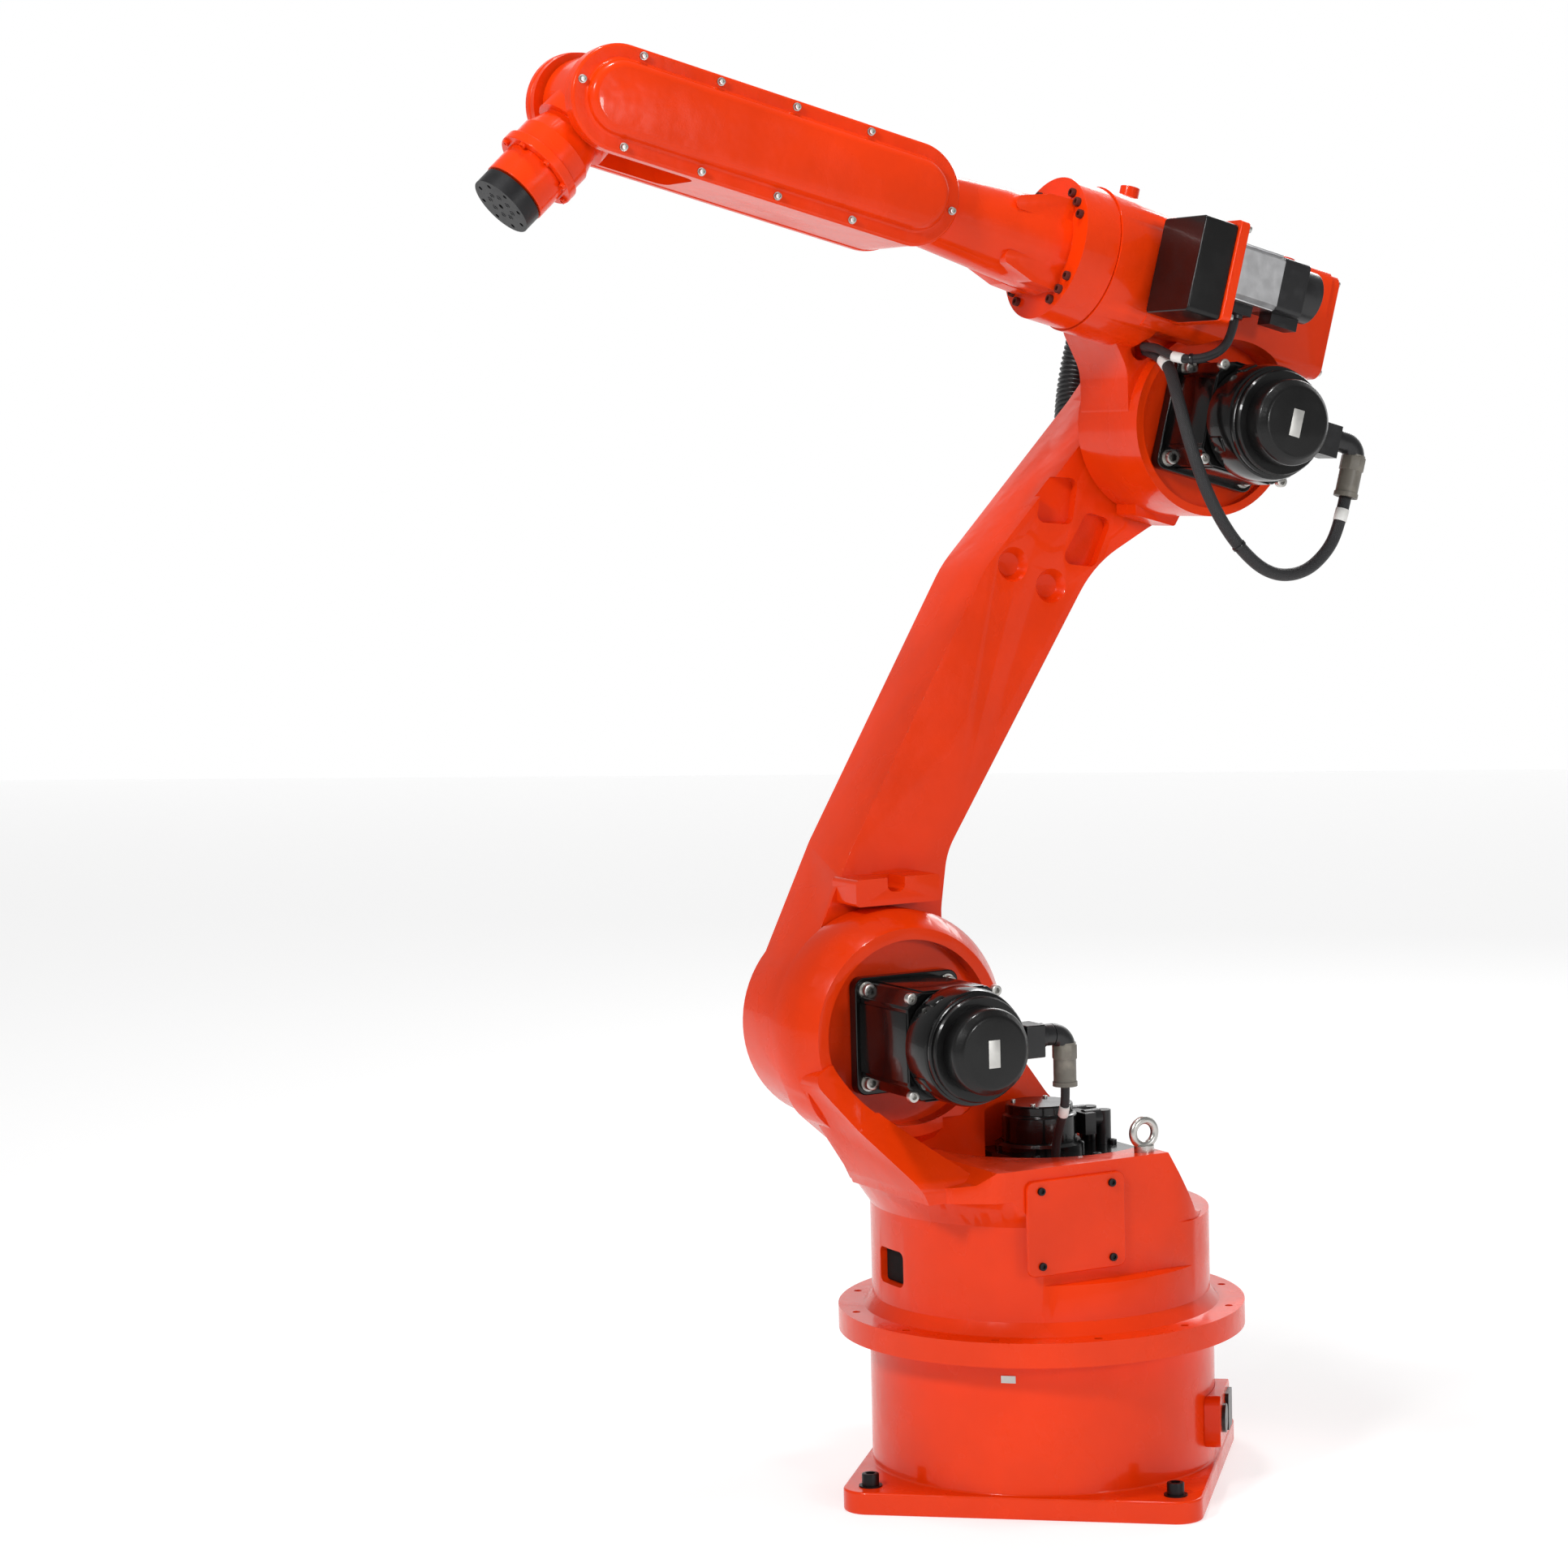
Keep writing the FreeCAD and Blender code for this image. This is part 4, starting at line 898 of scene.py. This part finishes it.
class ARM_OT_big_motors(bpy.types.Operator):
    """Screws, panels, rear housing, blank plate and bent connector of the two large motors"""
    bl_idname = "arm.big_motors"
    bl_label = "Large motors"

    def execute(self, context):
        heads = (screw_head(7.5, 8, 4.0, washer=9.5), screw_head(6.2, 7, 3.2),
                 screw_head(3.6, 3, 1.8))
        for tag, (body, place) in MOTORS.items():
            face, rear = MOTOR_SEAT[tag] + MOTOR_FLANGE_T, motor_rear(tag)
            self.screws(tag, body, place, face, rear, heads)
            self.panels(tag, body, place, face, rear)
            self.rear_end(tag, body, place, rear)
            self.connector(tag, body, place, rear + HUB_BEHIND)
        return {"FINISHED"}

    def screws(self, tag, body, place, face, rear, heads):
        flange, seam, small = heads
        spots = [moved(x, face, z) @ PLUS_Y for x, z in corners(FLANGE_BOLT, FLANGE_BOLT)]
        stamp(tag + "_flange_screws", flange, spots, place, body, paints["zinc"])
        spots = [moved(x, rear - 9, z) @ PLUS_Y for x, z in corners(SEAM_BOLT, SEAM_BOLT)]
        stamp(tag + "_seam_bolts", seam, spots, place, body, paints["zinc"])
        spots = [moved(x, rear + MOTOR_CAP_AT, z) @ PLUS_Y for x, z in ring(4, 52, 45)]
        stamp(tag + "_cap_screws", small, spots, place, body, paints["zinc"])

    def panels(self, tag, body, place, face, rear):
        half, inside, outside = 38, 58.5, 60.5
        bm = bmesh.new()
        for turn in (0, 90, 180, 270):
            verts = block(bm, (-half, face, inside), (half, rear - REAR_OVER, outside),
                          turned("Y", turn))
            round_edges(bm, verts, 1.0)
        put(bm, tag + "_body_panels", place, body, paints["motor"])

    def rear_end(self, tag, body, place, rear):
        """Cap seat, round housing with four lugs, and a blank plate on the cap."""
        cap = rear + MOTOR_CAP_AT
        bm = bmesh.new()
        lathe(bm, [(0, cap - 1), (56, cap - 1), (57.5, cap + 2), (57.5, cap + 6), (56, cap + 8),
                   (0, cap + 8)], PLUS_Y)
        put(bm, tag + "_cap_seat", place, body, paints["box"])
        bm = bmesh.new()
        start = rear - REAR_OVER
        lathe(bm, [(0, start), (60, start), (63, start + 2), (64, start + 6), (64, cap - 14),
                   (62, cap - 7), (60, cap - 6), (60, cap - 1), (58, cap), (0, cap)], PLUS_Y, 64)
        for turn in (35, 125, 215, 305):
            lug = block(bm, (44, rear + 4, -9), (66, rear + 26, 9), turned("Y", turn))
            round_edges(bm, lug, 2.5)
        put(bm, tag + "_rear_housing", place, body, paints["motor"])
        bm = bmesh.new()
        end = rear + 80
        round_edges(bm, block(bm, (-6, end - 0.2, -16), (8, end + 0.5, 14)), 0.2)
        put(bm, tag + "_blank_plate", place, body, paints["mark"])

    def connector(self, tag, body, place, hub):
        """Round stub that leaves the socket and bends down into the plug's nut."""
        stub = moved(0, hub, STUB_Z) @ MINUS_X
        bm = bmesh.new()
        mouth = bmesh.ops.create_circle(bm, cap_ends=False, radius=12, segments=28,
                                        matrix=moved(-BEND_X, hub, STUB_Z) @ MINUS_X)["verts"]
        edges = list({e for v in mouth for e in v.link_edges})
        bmesh.ops.spin(bm, geom=mouth + edges, cent=(-BEND_X, hub, STUB_Z - BEND_R),
                       axis=(0, 1, 0), angle=math.radians(-90), steps=12)
        bmesh.ops.recalc_face_normals(bm, faces=bm.faces)
        bmesh.ops.holes_fill(bm, edges=[e for e in bm.edges if e.is_boundary], sides=0)
        for low, high in ((66, 72), (86, 92)):
            drum(bm, 13.5, low, high, stub)
        put(bm, tag + "_connector_bend", place, body, paints["plastic"])
        bm = bmesh.new()
        at = moved(-BEND_X - BEND_R, hub, 0)
        round_edges(bm, drum(bm, 14, -24, -8, at, sides=8), 0.8)
        drum(bm, 13.6, -54, -49, at)
        put(bm, tag + "_plug_nut", place, body, paints["plug"])


class ARM_OT_yaw_drive(bpy.types.Operator):
    """Screws and foot ring of the turning motor, and the screws of its plate"""
    bl_idname = "arm.yaw_drive"
    bl_label = "Turning drive"

    def execute(self, context):
        z, motor_y, motor_cap = 374.0, 4, 52
        screw = screw_head(5.0, 5, 2.6)
        plate = [(-80, -30), (-80, 30), (-78, 88), (-20, 92), (44, 66), (46, 0)]
        stamp("yaw_plate_screws", screw, [moved(x, y, z) for x, y in plate], TURRET, "turret",
              paints["oxide"])
        spots = [moved(x, motor_y + y, z + motor_cap) for x, y in ring(4, 30, 45)]
        stamp("yaw_cap_screws", screw_head(2.8, 2.2, 1.4), spots, TURRET, "turret", paints["zinc"])
        bm = bmesh.new()
        lathe(bm, [(0, z), (50, z), (50, z + 7), (46, z + 10), (0, z + 10)],
              moved(0, motor_y, 0))
        put(bm, "yaw_motor_foot", TURRET, "turret", paints["motor"])
        return {"FINISHED"}


class ARM_OT_elbow_fittings(bpy.types.Operator):
    """Screws and small parts on the elbow and its roll motor"""
    bl_idname = "arm.elbow_fittings"
    bl_label = "Elbow fittings"

    def execute(self, context):
        small = screw_head(4.2, 4, 2.2)
        box_end, cover = -94.0, 12.0
        spots = [moved(box_end - cover, ROLL_Y - 2 + y, ROLL_Z + z) @ MINUS_X
                 for y in (-57, 0, 57) for z in (-51, 51)]
        stamp("rear_cover_screws", small, spots, ELBOW, "elbow", paints["zinc"])
        bracket_x, bracket_face, bracket_z = 14, -74, 158
        spots = [moved(bracket_x + x, bracket_face, bracket_z + z) @ MINUS_Y
                 for x, z in corners(30, 30)]
        stamp("hose_bracket_screws", small, spots, ELBOW, "elbow", paints["zinc"])
        spots = [moved(96, y, z) @ MINUS_X for y in (100, 188) for z in (93, 191)]
        stamp("roll_plate_screws", small, spots, ELBOW, "elbow", paints["zinc"])
        bm = bmesh.new()
        motor_y, motor_z, half = 152, 147, 30.2
        for y in (motor_y - 24, motor_y + 24):
            for z in (motor_z + half, motor_z - half):
                round_edges(bm, block(bm, (36, y - 3, z - 1.2), (94, y + 3, z + 1.2)), 0.8)
        put(bm, "roll_motor_ribs", ELBOW, "elbow", paints["alloy"])
        bm = bmesh.new()
        block(bm, (187, ROLL_Y - 7, ROLL_Z + 81.2), (194, ROLL_Y + 7, ROLL_Z + 82.4))
        put(bm, "roll_index_mark", ELBOW, "elbow", paints["mark"])
        return {"FINISHED"}


class ARM_OT_forearm_fittings(bpy.types.Operator):
    """Cover screws on both sides of the forearm and the roll flange screws"""
    bl_idname = "arm.forearm_fittings"
    bl_label = "Forearm fittings"

    def execute(self, context):
        rear, nose, radius, pitch, raised = 447.0, 804.0, 55.5, 91.6, 58
        reach = radius - 7.5
        screw = screw_head(3.5, 3.4, 1.8, washer=4.4)
        level = [moved(nose - 14 - pitch * i, 0, s * reach) for i in range(5) for s in (-1, 1)]
        level = [m for m in level if m.translation.x > rear - 20]
        ends = [moved(nose + reach * 0.98, 0, 6), moved(rear - reach * 0.98, 0, -6)]
        for name, turn, y in (("left", PLUS_Y, ROLL_Y + raised),
                              ("right", MINUS_Y, ROLL_Y - raised)):
            spots = [moved(0, y, ROLL_Z) @ m @ turn for m in level + ends]
            stamp("cover_screws_" + name, screw, spots, ELBOW, "forearm", paints["zinc"])
        bolt = screw_head(5.0, 5.0, 2.6)
        seam, gap, flange = 197.0, 1.0, 44.0
        face, bolt_ring = seam + gap + flange, 69
        spots = []
        for mid in (45, 135, 225, 315):
            for step in (-15, 0, 15):
                turn = math.radians(mid + step)
                spots.append(moved(face, ROLL_Y + bolt_ring * math.cos(turn),
                                   ROLL_Z + bolt_ring * math.sin(turn)) @ PLUS_X)
        # the roll flange screws take the dark red-brown material: painted shade of their screw pockets, not the
        # screws' own colour
        stamp("roll_flange_screws", bolt, spots, ELBOW, "forearm", paints["pit"])
        return {"FINISHED"}


class ARM_OT_wrist_fittings(bpy.types.Operator):
    """Ring screws of the wrist and the face of the tool flange"""
    bl_idname = "arm.wrist_fittings"
    bl_label = "Wrist fittings"

    def execute(self, context):
        bolt = screw_head(3.6, 3.4, 1.9)
        spots = [moved(103, y, z) @ PLUS_X for y, z in ring(8, 41, 11)]
        stamp("wrist_ring_screws", bolt, spots, WRIST, "wrist", paints["body"])
        inner = screw_head(3.4, 2.0, 1.7)
        face = TOOL_REACH - 1.6
        spots = [moved(face, y, z) @ PLUS_X for y, z in ring(8, 15, 0)]
        stamp("tool_centre_screws", inner, spots, WRIST, "tool", paints["oxide"])
        return {"FINISHED"}


# ---------------------------------------------------------------- camera and stage
class ARM_OT_camera(bpy.types.Operator):
    """Camera at eye level in front of the arm"""
    bl_idname = "arm.camera"
    bl_label = "Camera"

    def execute(self, context):
        lens = bpy.data.cameras.new("view")
        lens.lens, lens.sensor_width, lens.clip_end = 92.8, 36.0, 100.0
        camera = bpy.data.objects.new("view", lens)
        context.collection.objects.link(camera)
        context.scene.camera = camera
        heading, pitch, roll = math.radians(-78.03), math.radians(5.07), math.radians(-1.44)
        ahead = Vector((math.cos(heading) * math.cos(pitch), math.sin(heading) * math.cos(pitch),
                        -math.sin(pitch)))
        right = ahead.cross(Vector((0, 0, 1))).normalized()
        up = right.cross(ahead)
        tilted_right = right * math.cos(roll) + up * math.sin(roll)
        tilted_up = up * math.cos(roll) - right * math.sin(roll)
        turn = Matrix((tilted_right, tilted_up, -ahead)).transposed().to_4x4()
        camera.matrix_world = Matrix.Translation((-0.662, 4.449, 1.189)) @ turn
        return {"FINISHED"}


class ARM_OT_stage(bpy.types.Operator):
    """Pale floor and soft studio lights"""
    bl_idname = "arm.stage"
    bl_label = "Floor and lights"

    def execute(self, context):
        s = context.scene.arm_stage
        bm = bmesh.new()
        bmesh.ops.create_grid(bm, x_segments=1, y_segments=1, size=s.floor_size / 2)
        mesh = bpy.data.meshes.new("floor")
        bm.to_mesh(mesh)
        bm.free()
        pale = Shader("pale_floor").set(Base_Color=(0.45, 0.45, 0.45, 1), Roughness=0.9,
                                        Emission_Color=(1, 1, 1, 1), Emission_Strength=0.62)
        mesh.materials.append(pale.material)
        floor = bpy.data.objects.new("floor", mesh)
        context.collection.objects.link(floor)
        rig.stage(floor)
        self.curtain(context, s.curtain)
        world = bpy.data.worlds.new("studio")
        world.use_nodes = True
        sky = world.node_tree.nodes["Background"]
        sky.inputs["Color"].default_value = (1, 1, 1, 1)
        sky.inputs["Strength"].default_value = s.sky
        context.scene.world = world
        context.scene.view_settings.view_transform = "Standard"
        key = s.key_power
        self.lamp(context, "key", (1.8, 3.6, 3.4), (0, 0, 0.9), 0.7, key)
        self.lamp(context, "fill", (-3.2, 3.0, 1.6), (0, 0, 0.8), 0.5, key * 0.35)
        self.lamp(context, "top", (0.2, 0.6, 4.2), (0, 0, 0.8), 0.45, key * 0.5)
        self.lamp(context, "rim", (-0.5, -3.6, 2.6), (0, 0, 1.0), 1.6, key * 0.4)
        return {"FINISHED"}

    def curtain(self, context, glow):
        """White lit wall far behind the arm, which the floor runs into."""
        bm = bmesh.new()
        block(bm, (-9, -9.1, 0), (7, -9, 9))
        mesh = bpy.data.meshes.new("curtain")
        bm.to_mesh(mesh)
        bm.free()
        white = Shader("white_curtain").set(Base_Color=(0, 0, 0, 1), Roughness=1.0,
                                            Specular_IOR_Level=0.0,
                                            Emission_Color=(1, 1, 1, 1), Emission_Strength=glow)
        mesh.materials.append(white.material)
        wall = bpy.data.objects.new("curtain", mesh)
        context.collection.objects.link(wall)
        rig.stage(wall)

    def lamp(self, context, name, at, aim, size, power):
        light = bpy.data.lights.new(name, "AREA")
        light.energy, light.size = power, size
        obj = bpy.data.objects.new(name, light)
        context.collection.objects.link(obj)
        obj.location = at
        obj.rotation_euler = (Vector(aim) - Vector(at)).to_track_quat("-Z", "Y").to_euler()


class ARM_PT_panel(bpy.types.Panel):
    """Lists the settings and the steps that dress the arm"""
    bl_label = "Arm dressing"
    bl_idname = "ARM_PT_panel"
    bl_space_type = "VIEW_3D"
    bl_region_type = "UI"
    bl_category = "Arm"

    def draw(self, context):
        scene = context.scene
        for group in (scene.arm_finish, scene.arm_hoses, scene.arm_stage):
            box = self.layout.box()
            for name in group.__annotations__:
                box.prop(group, name)
        for step in STEPS:
            self.layout.operator(step.bl_idname)


STEPS = (ARM_OT_camera, ARM_OT_hoses, ARM_OT_cables, ARM_OT_castings, ARM_OT_base_fittings,
         ARM_OT_big_motors, ARM_OT_yaw_drive, ARM_OT_elbow_fittings, ARM_OT_forearm_fittings,
         ARM_OT_wrist_fittings, ARM_OT_stage)
CLASSES = (FinishSettings, HoseSettings, StageSettings) + STEPS + (ARM_PT_panel,)


def register():
    for cls in CLASSES:
        bpy.utils.register_class(cls)
    bpy.types.Scene.arm_finish = PointerProperty(type=FinishSettings)
    bpy.types.Scene.arm_hoses = PointerProperty(type=HoseSettings)
    bpy.types.Scene.arm_stage = PointerProperty(type=StageSettings)


def unregister():
    del bpy.types.Scene.arm_stage, bpy.types.Scene.arm_hoses, bpy.types.Scene.arm_finish
    for cls in reversed(CLASSES):
        bpy.utils.unregister_class(cls)


def main():
    register()
    mix_paints()
    for step in STEPS:
        group, name = step.bl_idname.split(".")
        getattr(getattr(bpy.ops, group), name)()
    sizes = {"cad": [list(map(float, corner)) for corner in cad_box],
             "visual": [list(map(float, corner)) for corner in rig.bounds()]}
    with open("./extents.json", "w") as out:
        json.dump(sizes, out)


if __name__ == "__main__":
    main()
